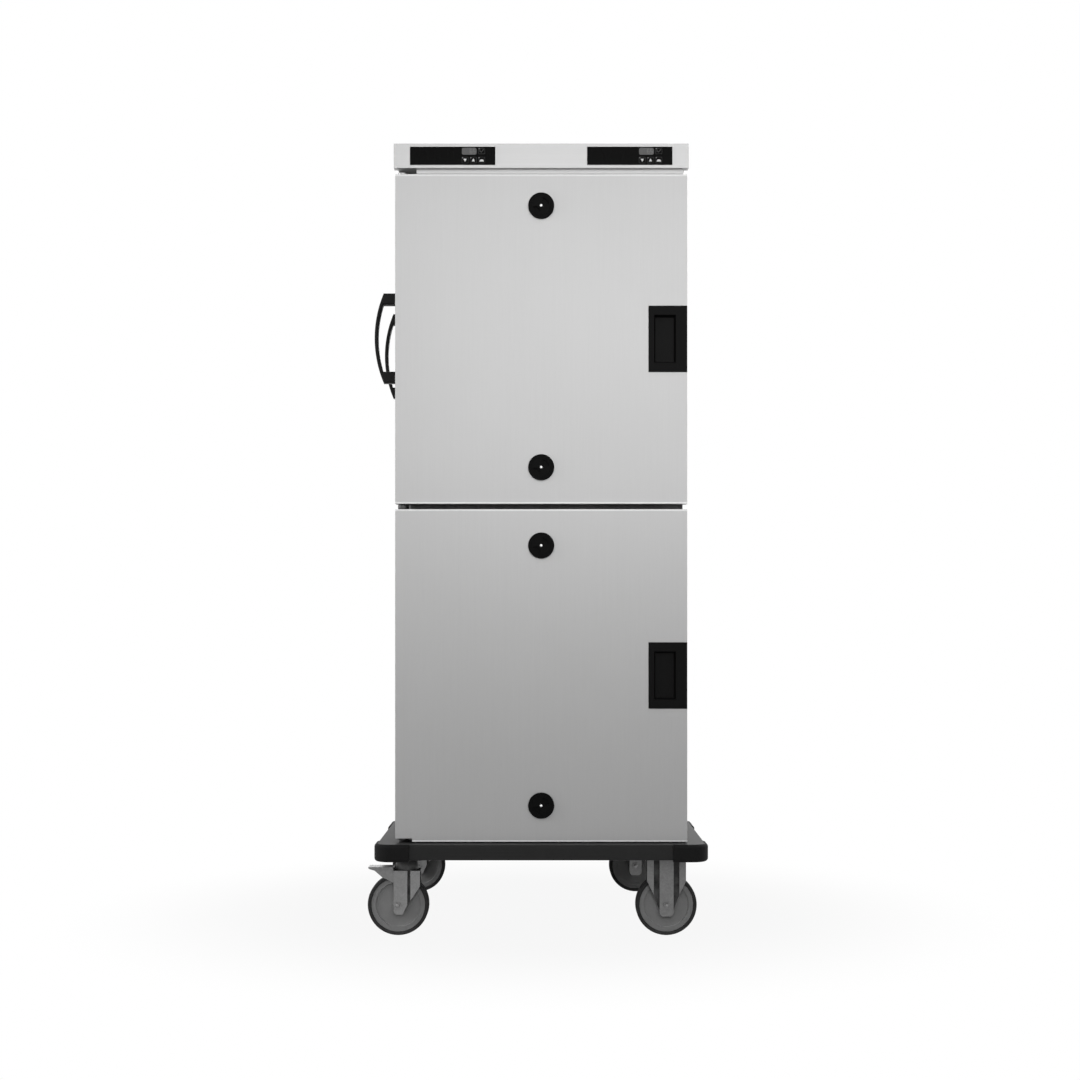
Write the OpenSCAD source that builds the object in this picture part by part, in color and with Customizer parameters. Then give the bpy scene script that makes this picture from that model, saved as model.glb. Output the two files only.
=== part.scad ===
// Heated food trolley: two insulated chambers one above the other, each behind
// its own door, on a bumpered base with two fixed and two braked swivel castors.
// Millimetres. X runs to the right seen from the doors, Y to the back, Z up from the floor.

/* [Base] */
// Depth over the corner bumpers, front to back
base_d = 950; // [900:1:1050]
// Width over the corner bumpers
base_w = 808; // [780:1:900]
// Height of the tray's underside, where the castors bolt on
castor_h = 195; // [190:1:215]
// Height of the tray's rim
tray_h = 37.5; // [30:0.5:60]
// Sheet of the tray
tray_t = 2; // [1.5:0.5:4]
// Depth of the bumper rail, from the tray's rim to its outer face
rail_t = 20; // [14:1:30]
// How far the corner blocks and side buffers stand out past the rails
bumper_proud = 5.5; // [3:0.5:10]
// Length of a corner block along each side
corner_l = 86; // [70:1:120]
// Radius of the base's corners, seen from above
corner_r = 40; // [32:1:60]
// Length of a side buffer
buffer_l = 110; // [60:1:160]

/* [Cabinet] */
// Width of the cabinet
body_w = 695; // [660:1:730]
// Depth of the cabinet without its doors
body_d = 800; // [760:1:840]
// Thickness of the side, back and floor walls
wall_t = 42; // [38:1:50]
// Sheet of the outer skin and of the chambers
sheet_t = 1.2; // [1:0.1:2]
// Sheet of the front frame
frame_t = 2; // [1.5:0.5:3]
// Wall between the two chambers
divider_t = 80; // [70:1:100]
// Wall above the upper chamber
ceiling_t = 44; // [36:1:60]
// Thickness of the mineral wool slabs in the walls
wool_t = 25; // [15:1:34]
// Distance from the front bumpers' face back to the doors' face
door_setback = 42; // [36:1:60]

/* [Doors] */
// Height of the lower door
lower_door_h = 806; // [760:1:850]
// Height of the upper door
upper_door_h = 798.5; // [760:1:850]
// Thickness of a door leaf
door_t = 50; // [46:1:56]
// How far a door reaches past the cabinet's side
door_overlap = 6.5; // [4:0.5:8]
// Gap between the lower door and the base
sill_gap = 3.5; // [3:0.5:6]
// Gap between the two doors
door_gap = 13.5; // [13:0.5:20]
// Gap between the upper door and the roof
head_gap = 12; // [10:0.5:18]
// Gap between a door's back and the cabinet's front, which the gasket fills
gasket_gap = 10; // [9:0.5:13]
// Width of the gasket
gasket_w = 13; // [9:1:14]
// Distance of the hinge pin from the door's edge
pivot_inset = 17; // [15:0.5:20]
// Diameter of a hinge pin
hinge_pin_d = 10; // [8:0.5:12]

/* [Door vents] */
// Diameter of a vent's turning cover
vent_d = 63; // [56:1:70]
// Distance of the top vent's centre below the upper door's top edge
vent_top_inset = 77; // [60:1:110]
// Distance of the other vents' centres from their door's edge
vent_inset = 88; // [60:1:110]
// Thickness of the turning cover
vent_cover_t = 5; // [4:0.5:8]

/* [Latches] */
// Width of the latch frame, from the door's edge
latch_w = 94; // [88:1:104]
// Height of the latch frame
latch_h = 161; // [140:1:180]
// Width of the finger cup
cup_w = 53; // [48:1:58]
// Height of the finger cup
cup_h = 117; // [100:1:130]
// Depth of the finger cup, down to the lever
cup_depth = 16; // [12:1:18]
// Width of the latch frame's rim left of the cup
cup_inset = 13.5; // [10:0.5:17]
// Angle that the lever is pressed through
lever_angle = 12; // [8:1:14]

/* [Control hood] */
// Height of the hood
hood_h = 59; // [54:1:80]
// Width of the hood's front cap
fascia_w = 713; // [700:1:735]
// Depth of the front cap
fascia_d = 24; // [20:1:26]
// How far the front cap stands in front of the doors
fascia_proud = 12; // [10:1:20]
// Width of a control panel
panel_w = 206; // [190:1:220]
// Height of a control panel
panel_h = 43.5; // [42:0.5:46]
// Distance of a panel's centre from the middle
panel_x = 214; // [205:1:225]
// Width of a display
display_w = 36; // [30:1:38]
// Height of a display
display_h = 17; // [12:0.5:17]
// Width of a key
key_w = 17; // [14:0.5:18]
// Height of a key
key_h = 16; // [12:0.5:17]
// Travel of a key
key_travel = 0.8; // [0.4:0.1:1]

/* [Handles] */
// Height of a push handle over its feet
handle_h = 233; // [200:1:280]
// How far the handle's bow stands off the cabinet's side
handle_reach = 84.5; // [70:0.5:100]
// Height of a handle's foot
foot_h = 30; // [24:1:40]
// How far a foot reaches from the cabinet's side
foot_reach = 61; // [50:1:66]
// Thickness of the bow
bow_t = 9; // [7:0.5:12]
// Width of a handle, front to back
handle_w = 28; // [22:1:36]
// Height of the handles' middle above the upper door's lower edge
handle_rise = 450.5; // [250:0.5:600]
// Distance between the two handles
handle_gap = 300; // [200:1:420]

/* [Chambers] */
// Number of tray levels in a chamber
levels = 10; // [6:1:12]
// Distance between two levels
level_pitch = 65; // [60:1:70]
// Room between a tray's edge and the chamber's side
rack_stand = 38.5; // [32:0.5:60]
// Width of the ledge that a tray rests on
ledge_w = 16; // [12:1:20]
// Depth of the ladder racks, front to back
rack_d = 620; // [560:1:650]
// Distance of the fan cover from the chamber's back wall
duct_depth = 62; // [55:1:75]
// Diameter of a fan
fan_d = 150; // [120:1:180]

/* [Castors] */
// Diameter of a wheel
wheel_d = 150; // [140:1:155]
// Width of a tyre
tyre_w = 34; // [30:1:38]
// Thickness of a tyre, from the rim to the tread
tyre_t = 9; // [7:0.5:12]
// Diameter of an axle
axle_d = 12; // [10:1:14]
// Distance of the castors from the bumpers' front and rear faces
castor_inset = 112; // [105:1:130]
// Distance of the swivel axes from the left bumpers' outer face
swivel_inset = 74; // [70:1:95]
// Distance from a swivel axis to its wheel's axle
trail = 21; // [16:1:30]
// Distance of the front fixed castor's middle from the right bumpers' outer face
fixed_inset = 97; // [84:1:125]
// How much nearer the middle the rear fixed castor is
rear_fixed_inset = 37; // [0:1:50]
// Angle that a brake pedal is pressed through
pedal_angle = 11; // [6:1:12]

/* [Hidden] */

steel = [0.78, 0.78, 0.77];
dark_steel = [0.42, 0.42, 0.42];
black = [0.1, 0.1, 0.1];
castor_grey = [0.45, 0.45, 0.45];
wool = [0.85, 0.8, 0.6];

// Overrun of a cut past the face it opens
over = 1;
// Gap between two pieces that only touch
gap = 0.3;
// Radial clearance of a pin or shaft that turns
run = 0.05;
// Room round a piece that passes through insulation
wool_play = 1;
// Facets of a circle
$fn = 96;

// The handles stand out on the left only, so the cabinet's middle lies right of the
// whole trolley's middle
cab_x = (body_w / 2 + handle_reach - base_w / 2) / 2;

// Heights
base_top = castor_h + tray_h;
lower_z0 = base_top + sill_gap;
lower_z1 = lower_z0 + lower_door_h;
upper_z0 = lower_z1 + door_gap;
upper_z1 = upper_z0 + upper_door_h;
roof_z = upper_z1 + head_gap;
top_z = roof_z + hood_h;
divider_z = (lower_z1 + upper_z0) / 2;
handle_z = upper_z0 + handle_rise;

// Depths
door_y0 = -base_d / 2 + door_setback;
door_y1 = door_y0 + door_t;
body_y0 = door_y1 + gasket_gap;
body_y1 = body_y0 + body_d;
fascia_y0 = door_y0 - fascia_proud;
fascia_y1 = fascia_y0 + fascia_d;

// Chambers: [lowest, highest] of each clear space
chamber_w = body_w - 2 * wall_t;
tray_w = chamber_w - 2 * rack_stand;
chamber_y1 = body_y1 - wall_t;
shaft_play = 2;
lower_chamber_z = [base_top + wall_t, divider_z - divider_t / 2];
upper_chamber_z = [divider_z + divider_t / 2, roof_z - ceiling_t];

// Doors
door_w = body_w + 2 * door_overlap;
pivot_x = -door_w / 2 + pivot_inset;
pivot_y = door_y0 + door_t / 2;
pin_bite = 15;
// Folded depth of the door's outer skin; the inner panel closes the rest
pan_d = 38;
liner_side_inset = 6;
liner_raise = 4;
mouth_play = 12;
back_flange = 16;

// Hinge brackets
bracket_w = 24;
bracket_t = 4;
bracket_nose = 12;
leaf_h = 36;
leaf_t = 3;
mid_block_play = 1.75;
mid_block_t = door_gap - 2 * mid_block_play;
notch_reach = 24;
notch_w = pivot_inset + notch_reach;
notch_h = 8;
bush_h = 22;

// Vents
seat_t = 2.5;
vent_tube_r = 23;
vent_tube_t = 1.6;
vent_stud_r = 3;
vent_head_r = 4;
vent_head_t = 1.4;
vent_window_r0 = 9;
vent_window_r1 = 20;
vent_window_angle = 70;
vent_groove = 0.8;
vent_groove_w = 1.4;
vent_groove_r = [22.4, 26];
vent_bevel = 1.2;

// Latches
latch_proud = 1.5;
latch_x1 = door_w / 2;
latch_x0 = latch_x1 - latch_w;
cup_x0 = latch_x0 + cup_inset;
cup_x1 = cup_x0 + cup_w;
latch_y0 = door_y0 - latch_proud;
latch_wall = 3;
latch_depth = 42;
lever_t = 4;
lever_pin_r = 2.5;
lever_barrel_r = 4;
lever_setback = 6;
lever_play = 1;
lever_x = cup_x1 + lever_barrel_r + lever_setback;
lever_y = latch_y0 + cup_depth + lever_t / 2;
rim_t = 4;
tail_t = 3;
tail_h = 24;
hook_l = 4;
strike_t = 3;
strike_h = 34;
strike_lip = 3;
latch_edge_r = 3.6;
upper_latch_z = (upper_z0 + upper_z1) / 2;
lower_latch_z = (lower_z0 + lower_z1) / 2;

// Control panels, all measured from the panel's own middle
panel_t = 4;
panel_flange_t = 2;
panel_flange = 4;
fascia_sheet = 1.5;
key_proud = 0.8;
key_depth = 1.6;
key_gap = 3;
display_t = 1.2;
panel_top_margin = 2.4;
panel_bottom_margin = 3;
key_margin = 24.4;
light_key_x = panel_w / 2 - key_margin - key_w / 2;
up_key_x = light_key_x - key_w - key_gap;
down_key_x = up_key_x - key_w - key_gap;
display_x = (up_key_x + down_key_x) / 2;
key_low_z = -panel_h / 2 + panel_bottom_margin + key_h / 2;
key_high_z = panel_h / 2 - panel_top_margin - key_h / 2;
display_z = panel_h / 2 - panel_top_margin - display_h / 2;

// Racks and heating
post_t = 3;
ledge_t = 1.5;
rack_front_gap = 18;
cover_t = 1.5;
cover_margin = 55;
cover_top_margin = 70;
motor_r = 36;
motor_gap = 6;
motor_d = wall_t - motor_gap;
shaft_r = 4;
fan_h = 34;
fan_blades = 14;
blade_t = 1.6;
coil_r = 4;
coil_gap = 26;
coil_d = fan_d + 2 * (coil_gap + coil_r);
coil_tail = 50;
inlet_w = 60;
inlet_h = 70;
inlet_rise = 97.5;
inlet_z = base_top + inlet_rise;

// Castors
wheel_r = wheel_d / 2;
plate_l = 105;
plate_w = 85;
plate_t = 3.5;
bolt_x = 80;
bolt_y = 66;
bolt_r = 4.5;
bolt_shank_r = 4;
bolt_head_r = 6.5;
bolt_head_t = 5;
head_r = 28.5;
crown_rise = 10;
crown_z = wheel_d + crown_rise;
crown_t = 4;
leg_t = 3;
leg_emboss = 5;
hub_r = 15;
hub_overhang = 2.5;
hub_half = tyre_w / 2 + hub_overhang;
web_half = 12.5;
web_dish_share = 0.88;
rim_r = wheel_r - tyre_t;
rim_h = 11.5;
rim_inset = 2;
rim_half = tyre_w / 2 - rim_inset;
shoulder_share = 0.45;
shoulder_r = shoulder_share * tyre_t;
nut_r = 9;
nut_t = 4;
castor_y = base_d / 2 - castor_inset;
swivel_x = base_w / 2 - swivel_inset;
fixed_x = base_w / 2 - fixed_inset;
rear_fixed_x = fixed_x - rear_fixed_inset;

module at_cabinet() {
  translate([cab_x, 0, 0]) children();
}

// Box between two values along each axis
module span(x, y, z) {
  translate([x[0], y[0], z[0]]) cube([x[1] - x[0], y[1] - y[0], z[1] - z[0]]);
}

// Flat outline in X and Z, given its depth range along Y
module along_y(y) {
  translate([0, y[1], 0]) rotate([90, 0, 0]) linear_extrude(y[1] - y[0]) children();
}

// Cylinder along Y
module rod_y(r, y) {
  along_y(y) circle(r);
}

module rounded_rect(w, h, r) {
  square([w - 2 * r, h], center = true);
  square([w, h - 2 * r], center = true);
  for (sx = [-1, 1], sz = [-1, 1])
    translate([sx * (w / 2 - r), sz * (h / 2 - r)]) circle(r);
}

// Sector of a ring between two radii, centred on an angle
module ring_sector(r0, r1, a, span_a) {
  intersection() {
    difference() {
      circle(r1);
      circle(r0);
    }
    rotate(a) polygon([[0, 0], [2 * r1 * cos(span_a / 2), 2 * r1 * sin(span_a / 2)],
      [2 * r1 * cos(span_a / 2), -2 * r1 * sin(span_a / 2)]]);
  }
}

// Base

tray_inner_x = base_w / 2 - bumper_proud - rail_t;
tray_inner_y = base_d / 2 - bumper_proud - rail_t;
tray_edge = 2;
bottom_drop = 4.5;
top_rise = 1;
bumper_w = rail_t + bumper_proud;
bumper_edge_r = 8;
rail_edge_r = 3;
rail_wall = 3;
rail_h = tray_h - tray_t - 2 * gap;

// Runs its children at the corners of a castor's bolt pattern
module at_bolts(lx, ly) {
  for (sx = [-1, 1], sy = [-1, 1]) translate([sx * lx / 2, sy * ly / 2, 0]) children();
}

module castor_holes(lx, ly) {
  at_bolts(lx, ly) translate([0, 0, castor_h - over]) cylinder(r = bolt_r, h = tray_t + 2 * over);
}

module all_castor_holes() {
  for (s = [-1, 1]) translate([-swivel_x, s * castor_y, 0]) castor_holes(bolt_y, bolt_x);
  translate([fixed_x, -castor_y, 0]) castor_holes(bolt_x, bolt_y);
  translate([rear_fixed_x, castor_y, 0]) castor_holes(bolt_x, bolt_y);
}

module base_tray() color(dark_steel) at_cabinet() {
  translate([0, 0, base_top - tray_t]) linear_extrude(tray_t)
    rounded_rect(base_w - 2 * (bumper_proud + tray_edge), base_d - 2 * (bumper_proud + tray_edge),
      corner_r - bumper_proud - tray_edge);
  difference() {
    translate([0, 0, castor_h]) linear_extrude(tray_h - tray_t)
      rounded_rect(2 * tray_inner_x, 2 * tray_inner_y, corner_r - bumper_w);
    translate([0, 0, castor_h + tray_t]) linear_extrude(tray_h - tray_t)
      rounded_rect(2 * (tray_inner_x - tray_t), 2 * (tray_inner_y - tray_t),
        corner_r - bumper_w - tray_t);
    all_castor_holes();
  }
}

// Hollow rail along Y, its outer face towards +X at x = 0
module rail(l) {
  translate([-rail_t / 2, l / 2, castor_h + gap + rail_h / 2]) rotate([90, 0, 0])
    linear_extrude(l) difference() {
      rounded_rect(rail_t, rail_h, rail_edge_r);
      rounded_rect(rail_t - 2 * rail_wall, rail_h - 2 * rail_wall, rail_edge_r / 2);
    }
}

module bumper_rails() color([0.17, 0.17, 0.17]) at_cabinet() {
  side_l = base_d / 2 - corner_l - buffer_l / 2 - 2 * gap;
  side_y = (base_d / 2 - corner_l + buffer_l / 2) / 2;
  for (s = [0, 1]) rotate(180 * s) {
    translate([0, -base_d / 2 + bumper_proud, 0]) rotate(-90)
      rail(base_w - 2 * corner_l - 2 * gap);
    for (t = [-1, 1])
      translate([base_w / 2 - bumper_proud, t * side_y, 0]) rail(side_l);
  }
}

// Section of a rubber block: x is measured outwards, its outer face at x = 0
module bumper_section() {
  z0 = castor_h - bottom_drop;
  z1 = base_top + top_rise;
  difference() {
    union() {
      translate([-bumper_w, z0]) square([bumper_w - bumper_edge_r, z1 - z0]);
      translate([-bumper_w, z0 + bumper_edge_r])
        square([bumper_w, z1 - z0 - 2 * bumper_edge_r]);
      for (z = [z0 + bumper_edge_r, z1 - bumper_edge_r])
        translate([-bumper_edge_r, z]) circle(bumper_edge_r);
    }
    translate([-bumper_w - over, base_top - tray_t - gap])
      square([rail_t - tray_edge + gap + over, tray_t + top_rise + gap + over]);
  }
}

// Corner block of the first quadrant
module corner_block() {
  leg_l = corner_l - corner_r;
  translate([base_w / 2 - corner_r, base_d / 2 - corner_r, 0]) {
    rotate_extrude(angle = 90) translate([corner_r, 0]) bumper_section();
    translate([corner_r, 0, 0]) rotate([90, 0, 0]) linear_extrude(leg_l) bumper_section();
    translate([-leg_l, corner_r, 0]) rotate([90, 0, 90]) linear_extrude(leg_l)
      bumper_section();
  }
}

module rubber_bumpers() color(black) at_cabinet() {
  for (sx = [0, 1], sy = [0, 1]) mirror([sx, 0, 0]) mirror([0, sy, 0]) corner_block();
  for (s = [0, 1]) rotate(180 * s)
    translate([base_w / 2, buffer_l / 2, 0]) rotate([90, 0, 0])
      linear_extrude(buffer_l) bumper_section();
}

// Cabinet

// Outer skin, folded in at the front round the mouths of both chambers
module cabinet_shell() color(steel) at_cabinet() {
  difference() {
    span([-body_w / 2, body_w / 2], [body_y0, body_y1], [base_top, roof_z]);
    span([sheet_t - body_w / 2, body_w / 2 - sheet_t],
      [body_y0 + frame_t, body_y1 - sheet_t], [base_top + sheet_t, roof_z - sheet_t]);
    for (z = [lower_chamber_z, upper_chamber_z])
      span([-chamber_w / 2, chamber_w / 2], [body_y0 - over, body_y0 + frame_t + over], z);
    inlet_cutout(0);
  }
}

module wall_insulation() color(wool) at_cabinet() {
  outer_x = body_w / 2 - sheet_t;
  outer_y = body_y1 - sheet_t;
  front_y = body_y0 + frame_t;
  bottom_z = base_top + sheet_t;
  crown = roof_z - sheet_t;
  difference() {
    span([-outer_x, outer_x], [front_y, outer_y], [bottom_z, crown]);
    span([wool_t - outer_x, outer_x - wool_t], [front_y - over, outer_y - wool_t],
      [bottom_z + wool_t, crown - wool_t]);
    for (c = [lower_chamber_z, upper_chamber_z])
      rod_at(motor_r + 2 * gap, (c[0] + c[1]) / 2, [front_y, outer_y + over]);
    inlet_cutout(4 * gap);
  }
  span([wool_t + gap - outer_x, outer_x - wool_t - gap], [front_y, outer_y - wool_t - gap],
    [lower_chamber_z[1] + sheet_t, upper_chamber_z[0] - sheet_t]);
}

// Cylinder along Y in the cabinet's middle plane
module rod_at(r, z, y) {
  translate([0, 0, z]) rod_y(r, y);
}

module chamber(z) {
  difference() {
    span([-chamber_w / 2 - sheet_t, chamber_w / 2 + sheet_t],
      [body_y0 + frame_t, chamber_y1 + sheet_t], [z[0] - sheet_t, z[1] + sheet_t]);
    span([-chamber_w / 2, chamber_w / 2], [body_y0 + frame_t - over, chamber_y1], z);
    rod_at(shaft_r + shaft_play, (z[0] + z[1]) / 2, [chamber_y1 - over, chamber_y1 + sheet_t + over]);
  }
}

module heated_chambers() color(steel) at_cabinet() {
  chamber(lower_chamber_z);
  chamber(upper_chamber_z);
}

// Control hood

module top_cover() color(steel) at_cabinet() {
  difference() {
    span([-body_w / 2, body_w / 2], [fascia_y1, body_y1], [roof_z, top_z]);
    span([sheet_t - body_w / 2, body_w / 2 - sheet_t], [fascia_y1 + sheet_t, body_y1 - sheet_t],
      [roof_z + sheet_t, top_z - sheet_t]);
    span([sheet_t - body_w / 2, body_w / 2 - sheet_t], [body_y0 + wall_t, body_y1 - sheet_t],
      [roof_z - over, roof_z + sheet_t + over]);
  }
}

// Middle of the control panels' height
panel_z = (roof_z + top_z) / 2 - gap;

module at_panels() {
  for (s = [-1, 1]) translate([s * panel_x, fascia_y0, panel_z]) children();
}

module control_fascia() color(steel) at_cabinet() {
  difference() {
    span([-fascia_w / 2, fascia_w / 2], [fascia_y0, fascia_y1], [roof_z, top_z]);
    span([fascia_sheet - fascia_w / 2, fascia_w / 2 - fascia_sheet],
      [fascia_y0 + fascia_sheet, fascia_y1 + over],
      [roof_z + fascia_sheet, top_z - fascia_sheet]);
    at_panels() along_y([-over, fascia_sheet + over])
      square([panel_w - 2 * panel_flange, panel_h - 2 * panel_flange], center = true);
  }
}

// Middles of the keys on a panel
menu_key = [light_key_x, key_high_z];
down_key = [down_key_x, key_low_z];
up_key = [up_key_x, key_low_z];
light_key = [light_key_x, key_low_z];
well_depth = key_depth - key_proud + key_travel + gap / 2;
key_corner_r = 2;
display_corner_r = 4.5;

module control_panels() color(black) at_cabinet() {
  at_panels() difference() {
    union() {
      along_y([-panel_flange_t, 0]) rounded_rect(panel_w, panel_h, key_corner_r / 2);
      along_y([-over, panel_t - panel_flange_t])
        square([panel_w - 2 * panel_flange - 2 * gap, panel_h - 2 * panel_flange - 2 * gap],
          center = true);
    }
    for (k = [menu_key, down_key, up_key, light_key])
      translate([k[0], 0, k[1]]) along_y([-panel_flange_t - over, well_depth - panel_flange_t])
        rounded_rect(key_w + 2 * gap, key_h + 2 * gap, key_corner_r + gap);
    translate([display_x, 0, display_z])
      along_y([-panel_flange_t - over, display_t - panel_flange_t])
        rounded_rect(display_w, display_h, display_corner_r);
  }
}

module displays() color([0.4, 0.42, 0.42]) at_cabinet() {
  at_panels() translate([display_x, 0, display_z])
    along_y([-panel_flange_t, display_t - panel_flange_t])
      rounded_rect(display_w - gap, display_h - gap, display_corner_r - gap / 2);
}

// One key of the panel on side s
module panel_key(s, k) {
  translate([s * panel_x + k[0], fascia_y0 - panel_flange_t - key_proud, panel_z + k[1]])
    along_y([0, key_depth]) rounded_rect(key_w, key_h, key_corner_r);
}

module left_menu_key() color(black) at_cabinet() panel_key(-1, menu_key);
module left_down_key() color(black) at_cabinet() panel_key(-1, down_key);
module left_up_key() color(black) at_cabinet() panel_key(-1, up_key);
module left_light_key() color(black) at_cabinet() panel_key(-1, light_key);
module right_menu_key() color(black) at_cabinet() panel_key(1, menu_key);
module right_down_key() color(black) at_cabinet() panel_key(1, down_key);
module right_up_key() color(black) at_cabinet() panel_key(1, up_key);
module right_light_key() color(black) at_cabinet() panel_key(1, light_key);

// Doors

upper_vents_z = [upper_z1 - vent_top_inset, upper_z0 + vent_inset];
lower_vents_z = [lower_z1 - vent_inset, lower_z0 + vent_inset];
liner_y1 = door_y1 + liner_raise;

module latch_cutout(zc, play) {
  span([latch_x0 - play, latch_x1 + over], [latch_y0 - over, latch_y0 + latch_depth + play],
    [zc - latch_h / 2 - play, zc + latch_h / 2 + play]);
}

// Room for the lowest hinge bracket under the lower door
module hinge_notch() {
  span([-door_w / 2 - over, -door_w / 2 + notch_w], [door_y0 - over, door_y1 + over],
    [lower_z0 - over, lower_z0 + notch_h]);
}

module vent_holes(vents, y) {
  for (z = vents) rod_at(vent_tube_r + gap, z, y);
}

// Block with a bore for a hinge pin, from z upwards
module hinge_bush(z) {
  span([sheet_t / 2 - door_w / 2, -door_w / 2 + notch_w + sheet_t],
    [door_y0 + sheet_t / 2, door_y0 + pan_d - sheet_t / 2], [z, z + bush_h]);
}

module pin_bore(z) {
  translate([pivot_x, pivot_y, z[0]]) cylinder(d = hinge_pin_d + 2 * run, h = z[1] - z[0]);
}

// Outer pan of a door: low and high bushes start at the heights in bush_z
module door_shell(z, vents, zc, bush_z) {
  difference() {
    union() {
      difference() {
        span([-door_w / 2, door_w / 2], [door_y0, door_y0 + pan_d], z);
        span([sheet_t - door_w / 2, door_w / 2 - sheet_t],
          [door_y0 + sheet_t, door_y0 + pan_d - sheet_t], [z[0] + sheet_t, z[1] - sheet_t]);
        span([back_flange - door_w / 2, door_w / 2 - back_flange],
          [door_y0 + sheet_t, door_y0 + pan_d + over], [z[0] + back_flange, z[1] - back_flange]);
      }
      for (b = bush_z) hinge_bush(b);
    }
    latch_cutout(zc, 0);
    vent_holes(vents, [door_y0 - over, door_y0 + sheet_t + over]);
    pin_bore([z[0] - over, bush_z[0] + bush_h - sheet_t]);
    pin_bore([bush_z[1] + sheet_t, z[1] + over]);
    hinge_notch();
  }
}

module upper_door_shell() color(steel) at_cabinet()
  door_shell([upper_z0, upper_z1], upper_vents_z, upper_latch_z, [upper_z0, upper_z1 - bush_h]);
module lower_door_shell() color(steel) at_cabinet()
  door_shell([lower_z0, lower_z1], lower_vents_z, lower_latch_z,
    [lower_z0 + notch_h, lower_z1 - bush_h]);

// Slab between a door's two pans, cut round the hinge bushes, the latch and the vents
module door_insulation(z, vents, zc, bush_z) {
  difference() {
    span([sheet_t - door_w / 2, door_w / 2 - sheet_t],
      [door_y0 + sheet_t, door_y0 + pan_d - sheet_t], [z[0] + sheet_t, z[1] - sheet_t]);
    for (b = bush_z)
      span([-door_w / 2, -door_w / 2 + notch_w + sheet_t + wool_play], [door_y0, door_y1],
        [b - notch_h - wool_play, b + bush_h + wool_play]);
    latch_cutout(zc, wool_play);
    for (v = vents) rod_at(vent_tube_r + wool_play, v, [door_y0, door_y1]);
  }
}

module upper_door_insulation() color(wool) at_cabinet()
  door_insulation([upper_z0, upper_z1], upper_vents_z, upper_latch_z,
    [upper_z0, upper_z1 - bush_h]);
module lower_door_insulation() color(wool) at_cabinet()
  door_insulation([lower_z0, lower_z1], lower_vents_z, lower_latch_z,
    [lower_z0 + notch_h, lower_z1 - bush_h]);

// Inner pan of a door, raised inside the gasket
module door_liner(z, vents, zc, chamber_z) {
  x1 = door_w / 2 - liner_side_inset;
  z0 = z[0] + liner_side_inset;
  z1 = z[1] - liner_side_inset;
  mouth_x = chamber_w / 2 - mouth_play;
  mouth_z = [chamber_z[0] + mouth_play, chamber_z[1] - mouth_play];
  difference() {
    union() {
      span([-x1, x1], [door_y0 + pan_d, door_y1], [z0, z1]);
      span([-mouth_x, mouth_x], [door_y1 - over, liner_y1], mouth_z);
    }
    span([sheet_t - x1, x1 - sheet_t], [door_y0 + pan_d - over, door_y1 - sheet_t],
      [z0 + sheet_t, z1 - sheet_t]);
    span([sheet_t - mouth_x, mouth_x - sheet_t], [door_y0 + pan_d, liner_y1 - sheet_t],
      [mouth_z[0] + sheet_t, mouth_z[1] - sheet_t]);
    vent_holes(vents, [door_y0 + pan_d, liner_y1 + over]);
    latch_cutout(zc, 0);
    span([strike_x - strike_play, door_w / 2 + over], [door_y0 + pan_d - over, door_y1 + over],
      [zc - strike_h / 2 - strike_play, zc + strike_h / 2 + strike_play]);
    hinge_notch();
  }
}

module upper_door_liner() color(steel) at_cabinet()
  door_liner([upper_z0, upper_z1], upper_vents_z, upper_latch_z, upper_chamber_z);
module lower_door_liner() color(steel) at_cabinet()
  door_liner([lower_z0, lower_z1], lower_vents_z, lower_latch_z, lower_chamber_z);

gasket_edge = 5;
gasket_base_t = 4;
gasket_step = 2.5;
gasket_corner_r = 14;

// Ring in X and Z round a chamber's mouth, inset from both sides of the gasket's width
module gasket_ring(z, inset) {
  reach = gasket_edge + gasket_w - inset;
  inner = gasket_edge + inset;
  translate([0, (z[0] + z[1]) / 2]) difference() {
    rounded_rect(chamber_w + 2 * reach, z[1] - z[0] + 2 * reach, gasket_corner_r);
    rounded_rect(chamber_w + 2 * inner, z[1] - z[0] + 2 * inner, gasket_corner_r - reach + inner);
  }
}

module door_gasket(z) {
  along_y([door_y1, door_y1 + gasket_base_t]) gasket_ring(z, 0);
  along_y([door_y1 + gasket_base_t, body_y0 - gap]) gasket_ring(z, gasket_step);
}

module upper_door_gasket() color(black) at_cabinet() door_gasket(upper_chamber_z);
module lower_door_gasket() color(black) at_cabinet() door_gasket(lower_chamber_z);

// Vents

cover_y1 = door_y0 - seat_t - gap;
cover_y0 = cover_y1 - vent_cover_t;
head_sink = vent_head_t + gap;

// Two windows of a vent, on opposite sides of the middle
module vent_windows(a) {
  for (t = [0, 180]) ring_sector(vent_window_r0, vent_window_r1, a + t, vent_window_angle);
}

module vent_seat(z) {
  translate([0, 0, z]) {
    along_y([door_y0 - seat_t, door_y0]) difference() {
      circle(d = vent_d);
      vent_windows(135);
    }
    along_y([door_y0, liner_y1]) difference() {
      circle(vent_tube_r);
      circle(vent_tube_r - vent_tube_t);
    }
    rod_y(vent_stud_r, [cover_y0 + vent_head_t, door_y0 - seat_t]);
    rod_y(vent_head_r, [cover_y0, cover_y0 + vent_head_t]);
  }
}

module vent_seats(vents) {
  for (z = vents) vent_seat(z);
}

module upper_vent_seats() color(black) at_cabinet() vent_seats(upper_vents_z);
module lower_vent_seats() color(black) at_cabinet() vent_seats(lower_vents_z);

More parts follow.
